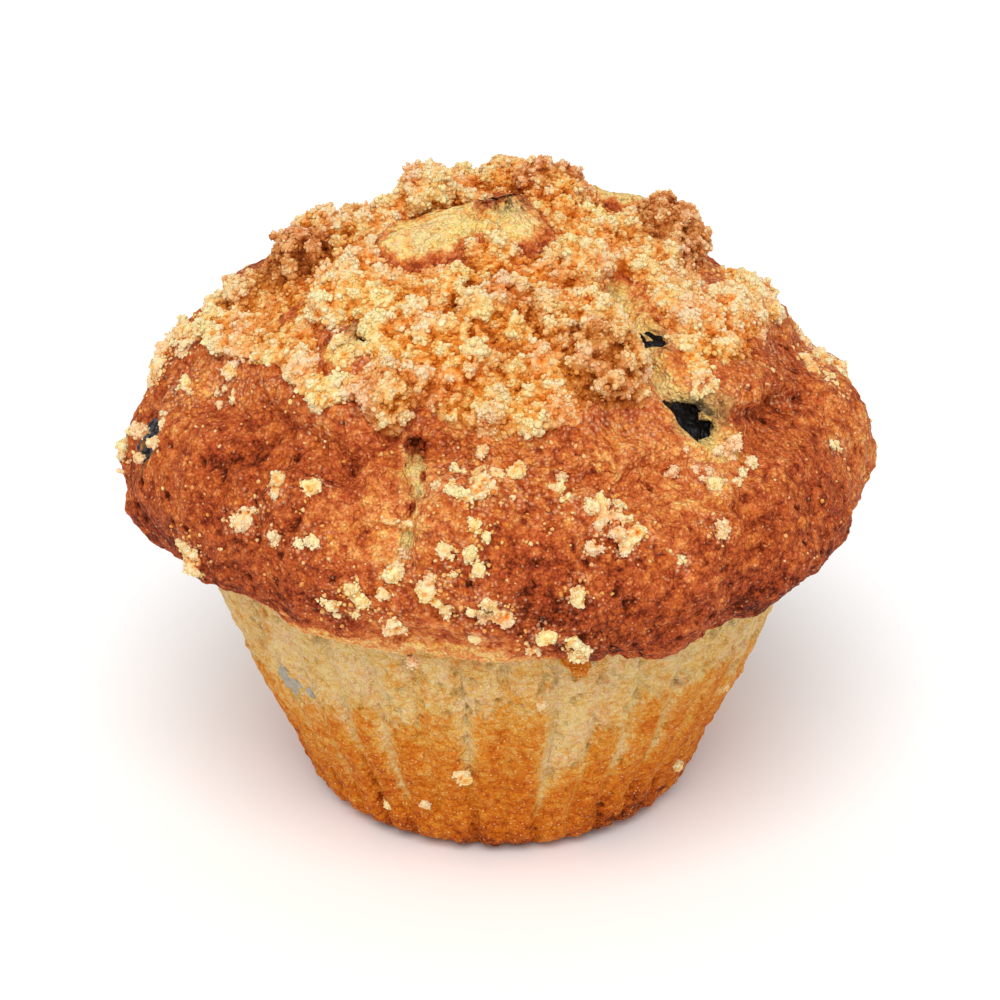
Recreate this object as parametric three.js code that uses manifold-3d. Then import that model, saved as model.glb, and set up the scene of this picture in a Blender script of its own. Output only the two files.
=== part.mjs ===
// A crumb-topped berry muffin, baked in a pleated paper case that has been peeled off.
// Millimetres, +Z up. The origin is the middle of the flat base, and the front faces -Y.
// An azimuth is in degrees round +Z, 0 at the front and 90 at +X.
import * as THREE from "three";
import { mergeVertices } from "three/addons/utils/BufferGeometryUtils.js";
import Module from "manifold-3d";

const wasm = await Module();
wasm.setup();

// ---------------------------------------------------------------- driving sizes

const GAP = 0.3; // clear space between two pieces

const BASE_RADIUS = 27; // cup wall, where it meets the rounded bottom edge
const BASE_ROUND = 6.5;
const CUP_RADIUS = 40.5; // top of the cup wall, under the cap
const CUP_HEIGHT = 39;
const CUP_BULGE = 0.7;
const PLEATS = 40; // folds of the paper case, printed into the wall
const PLEAT_DEPTH = 0.9;
const PLEAT_START = 1.8; // azimuth of the groove beside the front

const CAP_RADIUS = 47.5;
const LIP_HEIGHT = 9.5; // from the top of the cup to the cap's widest level
const LIP_POWER = 2.6; // superellipse powers of the lip and of the dome
const DOME_HEIGHT = 30.5;
const DOME_POWER = 1.65;
const WIDEST = CUP_HEIGHT + LIP_HEIGHT;
const HEART = new THREE.Vector3(0, 0, WIDEST); // the cap swells away from this point
const CAP_TILT = 0.04; // the cap leans down to the right by this much per mm across

const HEAP_RADIUS = 36; // mean reach of the crumble over the dome
const HEAP_DEPTH = 2;
const HEAP_ROOT = 9; // how far the uncut heap reaches below the dome
const HEAP_EDGE = 24; // lift of the uncut heap's edge on the dome

const CUP_SEGMENTS = 3 * PLEATS;
const ROUND_STEPS = 3;
const CUP_STEPS = 4;
const CAP_SEGMENTS = 66;
const LIP_STEPS = 4;
const DOME_STEPS = 9;
const HEAP_SEGMENTS = 54;
const HEAP_STEPS = 9;

// Swells of the whole cap: height and breadth in mm.
const SWELLS = [
  { height: 1.3, breadth: 17 },
  { height: 0.75, breadth: 8 },
  { height: 0.3, breadth: 4 },
];

// Long hollows of the cap: width and depth in mm, path as [azimuth, radius] on the dome.
const FRONT_LEDGE = { width: 3.2, depth: 2.4, path: [[-11, 38.5], [7, 40.5], [20, 42], [45, 42], [62, 40]] };
const LEFT_LEDGE = { width: 2.8, depth: 2.0, path: [[-61, 41.5], [-38, 40], [-27, 41], [-18, 39.5]] };
const LEFT_NOTCH = { width: 1.8, depth: 1.2, path: [[-38, 40], [-40, 44]] };
const BACK_RIGHT_LEDGE = { width: 3.4, depth: 2.0, path: [[88, 40], [110, 42], [135, 40], [152, 42]] };
const BACK_LEFT_LEDGE = { width: 3.2, depth: 2.1, path: [[-92, 41], [-118, 39], [-140, 42], [-163, 40]] };
const FRONT_SPLIT = { width: 1.7, depth: 4.2, path: [[-16, 38.5], [-15, 43], [-14.8, 46]] };
const RIGHT_SPLIT = { width: 2.6, depth: 3.2, path: [[45, 22], [38, 29], [36, 33], [38, 37], [43, 41.5]] };
const BACK_SPLIT = { width: 1.8, depth: 3.4, path: [[172, 39], [168, 43], [170, 46]] };
const LEDGES = [FRONT_LEDGE, LEFT_LEDGE, LEFT_NOTCH, BACK_RIGHT_LEDGE, BACK_LEFT_LEDGE];
const HOLLOWS = [RIGHT_SPLIT, FRONT_SPLIT, BACK_SPLIT, ...LEDGES];

// Bare places in the crumble, as [azimuth, radius] on the dome and their own radius.
const WINDOWS = [
  { name: "crown", at: [-52, 11.5], radius: 3.6 },
  { name: "crown middle", at: [-44, 7.2], radius: 3.4 },
  { name: "crown right", at: [20, 5.2], radius: 2.8 },
  { name: "left", at: [-35, 32], radius: 4.4 },
  { name: "back", at: [140, 22], radius: 4.2 },
];

const SPLIT_BARE = 2.2; // bare strip each side of the right split
const BARE_SLOPE = 1.6; // over which the crumble rises at a bare place

// Berries in the crumb of the cake: radius, and how far the centre lies under the surface.
const BERRIES = [
  { name: "berry_right", at: [40.5, 38.8], radius: 4.6, sunk: 2.7 },
  { name: "berry_left", lip: [-67, 52.5], radius: 4.3, sunk: 3.2 },
  { name: "berry_upper_left", at: [-36.5, 28.4], radius: 3.6, sunk: 2.6 },
  { name: "berry_upper_right", at: [46.5, 28.6], radius: 3.6, sunk: 2.7 },
  { name: "berry_side", wall: [-49, 25], radius: 4.0, sunk: 3.2 },
  { name: "berry_back_left", at: [-128, 40.5], radius: 4.4, sunk: 2.9 },
  { name: "berry_back_side", wall: [118, 21], radius: 4.0, sunk: 3.1 },
];

// The largest clumps of the crumble, grown together with the heap.
const CLUMPS = [
  { name: "left", at: [-80, 21.5], radius: 4.9 },
  { name: "crown", at: [158, 8.5], radius: 4.0 },
  { name: "crown left", at: [-100, 9], radius: 3.6 },
  { name: "right", at: [97, 18.5], radius: 5.2 },
  { name: "front", at: [24, 29], radius: 5.2 },
  { name: "front left", at: [-22, 34], radius: 4.8 },
  { name: "left foot", at: [-48, 25], radius: 4.4 },
  { name: "middle", at: [0, 21], radius: 4.8 },
  { name: "middle right", at: [38, 15], radius: 4.4 },
  { name: "far right", at: [76, 30], radius: 3.6 },
  { name: "far left", at: [-77, 31], radius: 3.8 },
  { name: "back", at: [178, 24], radius: 5.0 },
  { name: "back left", at: [-140, 31], radius: 3.8 },
  { name: "back right", at: [120, 30], radius: 3.2 },
];

// Small crumbs baked onto the cap: count, size and where, as spans of azimuth and of height.
const CRUMB_FIELDS = [
  { name: "front spill", count: 13, size: [0.9, 1.7], azimuth: [-24, 16], height: [42, 56] },
  { name: "front right", count: 7, size: [0.8, 1.5], azimuth: [10, 44], height: [50, 60] },
  { name: "left", count: 7, size: [0.8, 1.4], azimuth: [-58, -24], height: [48, 60] },
  { name: "left edge", count: 1, size: [2.4, 2.5], azimuth: [-54, -52], height: [44, 45] },
  { name: "left shoulder", count: 3, size: [1.6, 2.1], azimuth: [-92, -82], height: [58, 63] },
  { name: "right and back", count: 9, size: [0.8, 1.6], azimuth: [52, 180], height: [48, 61] },
  { name: "back left", count: 8, size: [0.8, 1.6], azimuth: [-180, -66], height: [48, 61] },
];
const HEAP_GRAINS = 46;
const HEAP_GRAIN_SIZE = [1.1, 1.9];
const GRAIN_SUNK = 0.95;
const GRAIN_REACH = 35;
const GOLDEN_ANGLE = 137.508;

// ---------------------------------------------------------------- noise and small helpers

const radians = THREE.MathUtils.degToRad;
const smooth = (t) => t * t * (3 - 2 * t);
const clamp01 = (t) => Math.min(1, Math.max(0, t));
const mix = (a, b, t) => a + (b - a) * t;

function lattice(ix, iy, iz) {
  let h = Math.imul(ix, 374761393) ^ Math.imul(iy, 668265263) ^ Math.imul(iz, 1103515245);
  h = Math.imul(h ^ (h >>> 13), 1274126177);
  return ((h ^ (h >>> 16)) >>> 0) / 4294967295;
}

// Smooth value noise of one point, from -1 to 1, with features about `size` mm across.
function noise(point, size) {
  const [x, y, z] = [point.x / size, point.y / size, point.z / size];
  const [ix, iy, iz] = [Math.floor(x), Math.floor(y), Math.floor(z)];
  const [u, v, w] = [smooth(x - ix), smooth(y - iy), smooth(z - iz)];
  const plane = (dz) =>
    mix(
      mix(lattice(ix, iy, iz + dz), lattice(ix + 1, iy, iz + dz), u),
      mix(lattice(ix, iy + 1, iz + dz), lattice(ix + 1, iy + 1, iz + dz), u),
      v,
    );
  return 2 * mix(plane(0), plane(1), w) - 1;
}

function randomSource(seed) {
  let state = seed;
  return (low = 0, high = 1) => {
    state = (Math.imul(state, 1664525) + 1013904223) >>> 0;
    return low + ((high - low) * state) / 4294967296;
  };
}

function polar(azimuth, radius, height) {
  const angle = radians(azimuth);
  return new THREE.Vector3(radius * Math.sin(angle), -radius * Math.cos(angle), height);
}

// ---------------------------------------------------------------- profiles

// A point of the cap's profile: lift is -90 at the cup, 0 at the widest level and 90 at the apex.
function capProfile(lift) {
  const [c, s] = [Math.cos(radians(lift)), Math.sin(radians(lift))];
  if (lift >= 0) {
    const power = 2 / DOME_POWER;
    return new THREE.Vector2(CAP_RADIUS * Math.max(c, 0) ** power, WIDEST + DOME_HEIGHT * s ** power);
  }
  const power = 2 / LIP_POWER;
  const reach = CAP_RADIUS - CUP_RADIUS;
  return new THREE.Vector2(CUP_RADIUS + reach * Math.max(c, 0) ** power, WIDEST - LIP_HEIGHT * (-s) ** power);
}

function domePoint(azimuth, radius) {
  const lift = THREE.MathUtils.radToDeg(Math.acos((radius / CAP_RADIUS) ** (DOME_POWER / 2)));
  return polar(azimuth, radius, capProfile(lift).y);
}

// The point of the cap's profile at a height, on the lip or on the dome.
function heightPoint(azimuth, height) {
  const share = height - WIDEST;
  const [full, power] = share < 0 ? [LIP_HEIGHT, LIP_POWER] : [DOME_HEIGHT, DOME_POWER];
  const lift = THREE.MathUtils.radToDeg(Math.asin(clamp01(Math.abs(share) / full) ** (power / 2)));
  return polar(azimuth, capProfile(Math.sign(share) * lift).x, height);
}

function wallRadius(height) {
  const share = clamp01((height - BASE_ROUND) / (CUP_HEIGHT - BASE_ROUND));
  return mix(BASE_RADIUS, CUP_RADIUS, share) + CUP_BULGE * Math.sin(Math.PI * share);
}

// ---------------------------------------------------------------- relief of the surfaces

const hollowLines = HOLLOWS.map(({ path }) => {
  const points = path.map((at) => domePoint(...at));
  return points.slice(1).map((point, i) => new THREE.Line3(points[i], point));
});
const nearest = new THREE.Vector3();

function distanceTo(lines, point) {
  return Math.min(...lines.map((line) => line.closestPointToPoint(point, true, nearest).distanceTo(point)));
}

function hollowDepth(point) {
  return HOLLOWS.reduce((deepest, { width, depth }, i) => {
    const far = distanceTo(hollowLines[i], point) / width;
    return Math.max(deepest, depth * Math.exp(-far * far));
  }, 0);
}

// Tongues of batter that ran down over the cup: azimuth, half width in degrees, and length in mm.
const DRIPS = [
  { name: "front", azimuth: 13.8, width: 3, length: 3.4 },
  { name: "front right", azimuth: 27, width: 6, length: 1.4 },
  { name: "back", azimuth: -158, width: 4, length: 2.6 },
];

// How far the lip's lower edge hangs down at an azimuth.
function lipDrop(azimuth) {
  const a = radians(azimuth);
  const sway = 0.5 + 0.9 * Math.sin(a) + 0.4 * Math.sin(3 * a + 1) + 0.35 * Math.sin(7 * a + 4);
  const drips = DRIPS.map(({ azimuth: middle, width, length }) => {
    const turned = ((azimuth - middle + 540) % 360) - 180;
    return length * Math.exp(-((turned / width) ** 2));
  });
  return sway + Math.max(...drips);
}

// How far the baked cap stands out from its plain profile at a point of that profile.
function capRelief(point) {
  const lobes = SWELLS.reduce((sum, { height, breadth }) => sum + height * noise(point, breadth), 0);
  const calm = smooth(clamp01((point.z - CUP_HEIGHT) / 6)); // the lip stays round where it meets the cup
  return lobes * calm - hollowDepth(point);
}

const awayFromHeart = (point) => point.clone().sub(HEART).normalize();

// A point of the cap's plain profile, moved to the baked surface and `lift` beyond it.
function bakedPoint(plain, lift) {
  const high = smooth(clamp01((plain.z - CUP_HEIGHT) / LIP_HEIGHT));
  const point = plain.clone().addScaledVector(awayFromHeart(plain), capRelief(plain) + lift);
  point.z -= high * CAP_TILT * plain.x;
  return point;
}

// The pleats: wide flutes and narrow grooves, uneven in depth, that fade out in the rounded bottom.
function wallRelief(azimuth, height) {
  const place = polar(azimuth, BASE_RADIUS, height / 2);
  const turn = ((azimuth - PLEAT_START) * PLEATS) / 2;
  const fold = Math.abs(Math.sin(radians(turn) + 0.25 * noise(place, 4)));
  const strength = 0.65 + 0.35 * noise(place, 6.5);
  const fade = clamp01(height / 3);
  return PLEAT_DEPTH * strength * fade * (Math.sqrt(fold) - 0.75);
}

function heapReach(azimuth) {
  const a = radians(azimuth);
  return HEAP_RADIUS + 1.6 * Math.sin(2 * a + 2.6) + 1.3 * Math.sin(5 * a + 0.8) + 1.2 * Math.sin(11 * a + 2);
}

const windowCentres = WINDOWS.map(({ at }) => domePoint(...at));
const rightSplitLines = hollowLines[HOLLOWS.indexOf(RIGHT_SPLIT)];

// How thick the crumble lies on the dome: below zero where the cake shows.
function heapThickness(point, azimuth) {
  const radius = Math.hypot(point.x, point.y);
  const inside = clamp01((heapReach(azimuth) - radius) / 2.4);
  const bare = Math.min(
    ...WINDOWS.map(({ radius: size }, i) => (windowCentres[i].distanceTo(point) - size) / BARE_SLOPE),
    (distanceTo(rightSplitLines, point) - SPLIT_BARE) / BARE_SLOPE,
  );
  const cover = Math.min(inside, clamp01(bare));
  const lumps = 1.4 * noise(point, 6.5) + 0.9 * noise(point, 3.4);
  return mix(-1.5, HEAP_DEPTH + lumps, smooth(cover));
}

// ---------------------------------------------------------------- solids

const emptied = ["normal", "uv"];

// A manifold-3d solid from a closed geometry.
function solidOf(geometry) {
  emptied.forEach((name) => geometry.deleteAttribute(name));
  const merged = mergeVertices(geometry, 1e-4);
  return new wasm.Manifold(
    new wasm.Mesh({
      numProp: 3,
      vertProperties: merged.attributes.position.array,
      triVerts: new Uint32Array(merged.index.array),
    }),
  );
}

function geometryOf(solid) {
  const { vertProperties, triVerts } = solid.getMesh();
  const geometry = new THREE.BufferGeometry();
  geometry.setAttribute("position", new THREE.BufferAttribute(vertProperties, 3));
  geometry.setIndex(new THREE.BufferAttribute(triVerts, 1));
  return geometry.toNonIndexed();
}

function largestBody(solid) {
  return solid.decompose().reduce((best, body) => (body.volume() > best.volume() ? body : best));
}

// A lathed solid whose points are then moved by shape(point, azimuth), which changes the point in place.
function shapedLathe(profile, segments, shape, start = 0) {
  const geometry = new THREE.LatheGeometry(profile, segments, radians(start)).rotateX(Math.PI / 2);
  const position = geometry.attributes.position;
  const point = new THREE.Vector3();
  for (let i = 0; i < position.count; i++) {
    point.fromBufferAttribute(position, i);
    const turn = Math.floor(i / profile.length) % segments;
    shape(point, start + (360 * turn) / segments);
    position.setXYZ(i, point.x, point.y, point.z);
  }
  return solidOf(geometry);
}

function steps(count, low, high) {
  return Array.from({ length: count + 1 }, (_, i) => mix(low, high, i / count));
}

function cupSolid(grow) {
  const round = steps(ROUND_STEPS, -90, -12).map(
    (turn) =>
      new THREE.Vector2(
        BASE_RADIUS - BASE_ROUND + BASE_ROUND * Math.cos(radians(turn)),
        BASE_ROUND + BASE_ROUND * Math.sin(radians(turn)),
      ),
  );
  const wall = steps(CUP_STEPS, BASE_ROUND + 2, CUP_HEIGHT).map((z) => new THREE.Vector2(wallRadius(z), z));
  const top = CUP_HEIGHT + 3; // inside the cap
  const lid = [new THREE.Vector2(CUP_RADIUS - 3, top), new THREE.Vector2(0, top)];
  const profile = [new THREE.Vector2(0, 0), ...round, ...wall, ...lid];
  const pleated = (point, azimuth) => {
    const radius = Math.hypot(point.x, point.y);
    if (radius < BASE_RADIUS - BASE_ROUND - 0.1 || point.z >= top) return;
    const share = (radius + wallRelief(azimuth, point.z) + grow) / radius;
    point.set(point.x * share, point.y * share, point.z);
  };
  return shapedLathe(profile, CUP_SEGMENTS, pleated, PLEAT_START);
}

function capSolid(grow) {
  const lip = steps(LIP_STEPS, -90, 0).map(capProfile);
  const dome = steps(DOME_STEPS, 0, 90).slice(1).map(capProfile);
  dome[dome.length - 1].x = 0;
  const floor = CUP_HEIGHT - 4; // inside the cup
  const profile = [new THREE.Vector2(0, floor), new THREE.Vector2(CUP_RADIUS - 4, floor), ...lip, ...dome];
  return shapedLathe(profile, CAP_SEGMENTS, (point, azimuth) => {
    if (point.z <= floor) return;
    const low = 1 - smooth(clamp01((point.z - CUP_HEIGHT) / LIP_HEIGHT));
    point.copy(bakedPoint(point, grow));
    point.z -= low * lipDrop(azimuth);
  });
}

function heapSolid(grow) {
  const top = steps(HEAP_STEPS, HEAP_EDGE, 90).map(capProfile);
  top[top.length - 1].x = 0;
  const root = top.map((p) => new THREE.Vector2(p.x, p.y - HEAP_ROOT)).reverse();
  return shapedLathe([...root, ...top], HEAP_SEGMENTS, (point, azimuth) => {
    const height = domePoint(azimuth, Math.min(Math.hypot(point.x, point.y), CAP_RADIUS)).z;
    if (point.z < height - HEAP_ROOT / 2) return;
    point.copy(bakedPoint(point, heapThickness(point, azimuth) + grow));
  });
}

// A rough stone: an icosahedron with each corner moved in or out, flattened by `squat`.
// `grow` adds the same skin all round.
function stone({ radius, centre, detail = 0, roughness = 0.2, squat = 1 }, grow = 0) {
  const geometry = new THREE.IcosahedronGeometry(1, detail);
  emptied.forEach((name) => geometry.deleteAttribute(name));
  const merged = mergeVertices(geometry, 1e-4);
  const position = merged.attributes.position;
  const up = awayFromHeart(centre);
  const point = new THREE.Vector3();
  for (let i = 0; i < position.count; i++) {
    point.fromBufferAttribute(position, i);
    const bump = noise(point.clone().multiplyScalar(radius).add(centre), radius * 0.7);
    const away = point.clone();
    point.multiplyScalar(radius * (1 + roughness * bump));
    point.addScaledVector(up, (squat - 1) * point.dot(up));
    point.addScaledVector(away, grow).add(centre);
    position.setXYZ(i, point.x, point.y, point.z);
  }
  return solidOf(merged);
}

// The place of a berry, clump or crumb on the finished surface, raised or sunk by `lift`.
function placed({ at, lip, wall }, lift) {
  if (wall) {
    const [azimuth, height] = wall;
    return polar(azimuth, wallRadius(height) + wallRelief(azimuth, height) + lift, height);
  }
  return bakedPoint(at ? domePoint(...at) : heightPoint(...lip), lift);
}

const joined = (solids) => solids.reduce((whole, solid) => whole.add(solid));
const berries = BERRIES.map((berry) => {
  const centre = placed(berry, -berry.sunk);
  const shape = { radius: berry.radius, centre, detail: 1, roughness: 0.06, squat: 0.92 };
  return { name: berry.name, solid: stone(shape), pocket: stone(shape, GAP) };
});
const pockets = joined(berries.map(({ pocket }) => pocket));

const random = randomSource(7);

// A lump of crumble standing on the heap, sunk into it by a part of its radius.
function heapLump([azimuth, radius], size, detail, sunk) {
  const thickness = Math.max(heapThickness(domePoint(azimuth, radius), azimuth), 0);
  const centre = placed({ at: [azimuth, radius] }, thickness + size * (1 - sunk));
  return { radius: size, centre, detail, roughness: 0.3, squat: 0.85 };
}

const clumps = CLUMPS.map(({ at, radius }) => heapLump(at, radius, 2, 1.05));

// Grains over the whole heap, spread evenly by a golden-angle spiral.
const grains = Array.from({ length: HEAP_GRAINS }, (_, i) => [
  (GOLDEN_ANGLE * i) % 360,
  GRAIN_REACH * Math.sqrt((i + 0.5) / HEAP_GRAINS),
])
  .filter(([azimuth, radius]) => heapThickness(domePoint(azimuth, radius), azimuth) > 1)
  .map((at) => heapLump(at, random(...HEAP_GRAIN_SIZE), 0, GRAIN_SUNK));

const lumps = [...clumps, ...grains];
const heapLumps = joined(lumps.map((lump) => stone(lump)));
const heap = largestBody(heapSolid(0).add(heapLumps).subtract(pockets).subtract(capSolid(GAP)));
const heapAround = heapSolid(GAP).add(joined(lumps.map((lump) => stone(lump, GAP))));

// Crumbs fused to the cap, each kept only where it is clear of the heap and the berries.
const crumbs = CRUMB_FIELDS.flatMap(({ count, size, azimuth, height }) =>
  Array.from({ length: count }, () => {
    const radius = random(...size);
    const lip = [random(...azimuth), random(...height)];
    return { radius, centre: placed({ lip }, radius * 0.35) };
  }),
).filter((crumb) => stone(crumb, GAP).intersect(heapAround.add(pockets)).isEmpty());

const cake = largestBody(
  cupSolid(0).add(capSolid(0)).add(joined(crumbs.map((crumb) => stone(crumb)))).subtract(pockets),
);

// ---------------------------------------------------------------- the muffin

const cakeCrumb = new THREE.MeshStandardMaterial({ color: 0xc8803f, roughness: 0.8, metalness: 0 });
const crumble = new THREE.MeshStandardMaterial({ color: 0xdca566, roughness: 0.85, metalness: 0 });
const berrySkin = new THREE.MeshStandardMaterial({ color: 0x1e1a2c, roughness: 0.4, metalness: 0 });

const muffin = new THREE.Group();

function addPiece(name, solid, material) {
  const mesh = new THREE.Mesh(geometryOf(solid), material);
  mesh.name = name;
  muffin.add(mesh);
}

addPiece("cake", cake, cakeCrumb);
addPiece("crumble", heap, crumble);
berries.forEach(({ name, solid }) => addPiece(name, solid, berrySkin));

export default muffin;
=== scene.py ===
"""A crumb-topped berry muffin: a browned cap over a pleated cup, a heap of crumble, and berries.

Shapes are worked out in millimetres and written to the meshes in metres. An azimuth is in degrees
round +Z, 0 at the front (-Y) and 90 at +X. Every random draw is seeded.
"""

import math

import bpy
import numpy as np
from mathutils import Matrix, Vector


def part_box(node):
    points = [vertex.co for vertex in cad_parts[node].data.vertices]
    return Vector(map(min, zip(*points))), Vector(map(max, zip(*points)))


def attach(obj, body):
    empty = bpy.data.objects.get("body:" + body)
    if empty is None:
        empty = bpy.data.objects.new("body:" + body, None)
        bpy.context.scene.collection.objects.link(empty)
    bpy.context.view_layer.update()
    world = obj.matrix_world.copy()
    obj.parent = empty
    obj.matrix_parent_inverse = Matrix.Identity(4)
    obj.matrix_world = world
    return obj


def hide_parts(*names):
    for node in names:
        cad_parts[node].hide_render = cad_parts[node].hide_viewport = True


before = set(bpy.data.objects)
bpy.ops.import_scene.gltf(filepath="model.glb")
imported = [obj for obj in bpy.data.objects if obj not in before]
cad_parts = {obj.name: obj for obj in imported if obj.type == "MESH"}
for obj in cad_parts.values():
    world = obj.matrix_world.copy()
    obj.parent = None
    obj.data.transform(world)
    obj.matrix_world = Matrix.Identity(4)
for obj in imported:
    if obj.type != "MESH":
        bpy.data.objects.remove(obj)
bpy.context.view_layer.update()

MM = 0.001

# ------------------------------------------------------------------ driving sizes, as the solids have them

BASE_RADIUS = 27.0
BASE_ROUND = 6.5
CUP_RADIUS = 40.5
CUP_HEIGHT = 39.0
CUP_BULGE = 0.7
PLEATS = 40
PLEAT_START = 1.8  # azimuth of the groove beside the front

CAP_RADIUS = 47.5
LIP_HEIGHT = 9.5
LIP_POWER = 2.6
DOME_HEIGHT = 30.5
DOME_POWER = 1.65
WIDEST = CUP_HEIGHT + LIP_HEIGHT
HEART = np.array([0.0, 0.0, WIDEST])
CAP_TILT = 0.04  # the cap leans down to the right by this much per mm across

HEAP_RADIUS = 36.0
HEAP_DEPTH = 2.0
HEAP_EDGE = 24.0
HEAP_ROOT = 4.0

SWELLS = [(1.3, 17.0), (0.75, 8.0), (0.3, 4.0)]  # height and breadth

# width, depth and path as (azimuth, radius) on the dome
RIGHT_SPLIT = (2.6, 3.2, [(54, 19), (46.5, 23.5), (41, 29), (39, 33), (40, 37.5), (43, 41)])
SPLITS = [
    RIGHT_SPLIT,
    (1.1, 3.8, [(-16.3, 38), (-15.3, 40)]),
    (1.7, 3.4, [(-14.8, 40.6), (-13.9, 42.6)]),
    (0.9, 3.2, [(-13.9, 42.6), (-13.9, 44.6)]),
    (1.5, 2.8, [(-14.2, 45.3), (-14.7, 46.6)]),
    (1.6, 3.4, [(172, 39), (168, 43), (170, 46)]),
]
LEDGES = [
    (3.2, 3.2, [(-11, 38.5), (7, 40.5), (20, 42), (45, 42), (62, 40)]),
    (2.8, 2.7, [(-61, 41.5), (-38, 40), (-27, 41), (-18, 39.5)]),
    (3.0, 2.0, [(-20, 37), (-18.5, 42), (-17, 46)]),
    (1.8, 1.2, [(-38, 40), (-40, 44)]),
    (3.4, 2.0, [(88, 40), (110, 42), (135, 40), (152, 42)]),
    (3.2, 2.1, [(-92, 41), (-118, 39), (-140, 42), (-163, 40)]),
]

# bare places in the crumble: azimuth, radius on the dome, own radius
WINDOWS = [(-52, 11.5, 4.6), (-44, 7.2, 3.8), (20, 5.2, 3.2), (-36, 30.5, 2.4), (140, 22, 4.2)]
SPLIT_BARE = 2.0
BARE_SLOPE = 2.0

# tongues of batter under the lip: azimuth, half width in degrees, length
DRIPS = [(27.0, 5.0, 1.2), (-158.0, 4.0, 2.6)]
# tongues that ran down the cup: azimuth, half width in degrees, height of the tip
TONGUES = [(13.6, 4.6, 31.6), (-97, 3.0, 35.2)]

# where the lip runs into the cup without standing out: azimuth, half width in degrees, how far it is tucked in
TUCK = (-11.0, 16.0, 2.2)

# lobes of the crust: azimuth, height, breadth, how far they stand out
LOBES = [
    (-34, 52.5, 8, 1.3),
    (-9.5, 57, 4.5, 1.4),
    (2, 52, 9, 0.8),
    (24, 54, 9, 0.9),
    (59, 66, 4.5, 1.5),
    (78, 59.5, 5, 0.8),
    (-57, 57, 4, 0.8),
    (-25, 46, 6, 0.8),
    (-2.5, 48, 6, 0.6),
    (120, 55, 9, 1.2),
    (165, 52, 9, 1.0),
    (-110, 52, 9, 1.0),
    (-150, 56, 8, 1.2),
]
# creases between them: width, depth, path as (azimuth, height)
CREASES = [
    (1.3, 1.0, [(-52, 56), (-42, 58.5), (-30, 59.5), (-24, 59)]),
    (1.2, 1.0, [(-26, 60), (-22.5, 57), (-21, 53.5)]),
    (1.4, 1.2, [(43, 64), (56, 62.6), (70, 61.5)]),
    (1.3, 1.0, [(-13, 49), (-8, 46.8), (1, 46.2), (8, 47.5)]),
    (1.1, 0.8, [(80, 58), (83, 53), (80, 49)]),
    (1.3, 1.0, [(112, 50), (130, 54), (146, 53)]),
    (1.3, 1.0, [(-120, 51), (-136, 53), (-150, 50)]),
]

# the largest clumps of crumble: azimuth, radius on the dome, own radius, how toasted
CLUMPS = [
    (-80, 24.5, 4.2, 0.9),
    (150, 9, 3.6, 0.6),
    (140, 11, 2.6, 0.5),
    (-88, 41, 3.6, 0.1),
    (-100, 9, 3.6, 0.3),
    (101, 20.6, 5.2, 0.95),
    (24, 29, 5.2, 0.7),
    (-22, 34, 4.8, 0.55),
    (-48, 25, 4.4, 0.0),
    (0, 21, 4.8, 0.25),
    (38, 15, 4.4, 0.35),
    (76, 30, 3.6, 0.1),
    (-77, 31, 2.6, 0.45),
    (178, 24, 5.0, 0.5),
    (-140, 31, 2.8, 0.3),
    (120, 30, 2.2, 0.4),
]

# the hole in the crust over each berry: its radius, how much narrower it is sideways, and how far it lies
# to the right and upwards of the berry's middle
BERRY_HOLES = {
    "berry_right": (2.6, 0.8, 1.5, 0.7),
    "berry_left": (2.5, 1.6, 0.0, 0.0),
    "berry_upper_left": (1.6, 1.2, 0.0, 0.0),
    "berry_upper_right": (1.1, 1.3, 0.8, 0.9),
    "berry_side": (2.5, 2.6, -0.6, 0.0),
    "berry_back_left": (2.2, 1.0, 0.0, 0.0),
    "berry_back_side": (2.2, 1.3, 0.0, 0.0),
}

# ------------------------------------------------------------------ the camera

CAMERA_ELEVATION = 26.0
CAMERA_DISTANCE = 400.0
CAMERA_AIM = Vector((0, 0, 38.8))
CAMERA_LENS = 110.0


def add_camera():
    camera = bpy.data.objects.new("camera", bpy.data.cameras.new("camera"))
    bpy.context.collection.objects.link(camera)
    angle = math.radians(CAMERA_ELEVATION)
    away = Vector((0, -math.cos(angle), math.sin(angle)))
    camera.location = (CAMERA_AIM + away * CAMERA_DISTANCE) * MM
    camera.rotation_euler = away.to_track_quat("Z", "Y").to_euler()
    camera.data.lens = CAMERA_LENS
    camera.data.clip_start = 0.01
    camera.data.clip_end = 20
    bpy.context.scene.camera = camera


# ------------------------------------------------------------------ numbers over many points


def smooth(t):
    t = np.clip(t, 0.0, 1.0)
    return t * t * (3.0 - 2.0 * t)


def lattice(ix, iy, iz):
    """A random number from 0 to 1 for every whole-number place."""
    h = ((ix * 374761393) ^ (iy * 668265263) ^ (iz * 1103515245)) & 0xFFFFFFFF
    h = ((h ^ (h >> 13)) * 1274126177) & 0xFFFFFFFF
    return (h ^ (h >> 16)) / 4294967295.0


def noise(points, size):
    """Smooth noise from -1 to 1, with features about size mm across."""
    scaled = points / size
    low = np.floor(scaled).astype(np.int64)
    share = scaled - low
    share = share * share * (3.0 - 2.0 * share)
    total = np.zeros(len(points))
    for step in np.ndindex(2, 2, 2):
        weight = np.prod(np.where(step, share, 1.0 - share), axis=1)
        total += weight * lattice(*(low + step).T)
    return 2.0 * total - 1.0


def layered(points, size, layers=3):
    """Noise with finer and weaker layers on top."""
    parts = [noise(points + 31.7 * k, size / 2**k) / 2**k for k in range(layers)]
    return sum(parts) / 1.5


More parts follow.
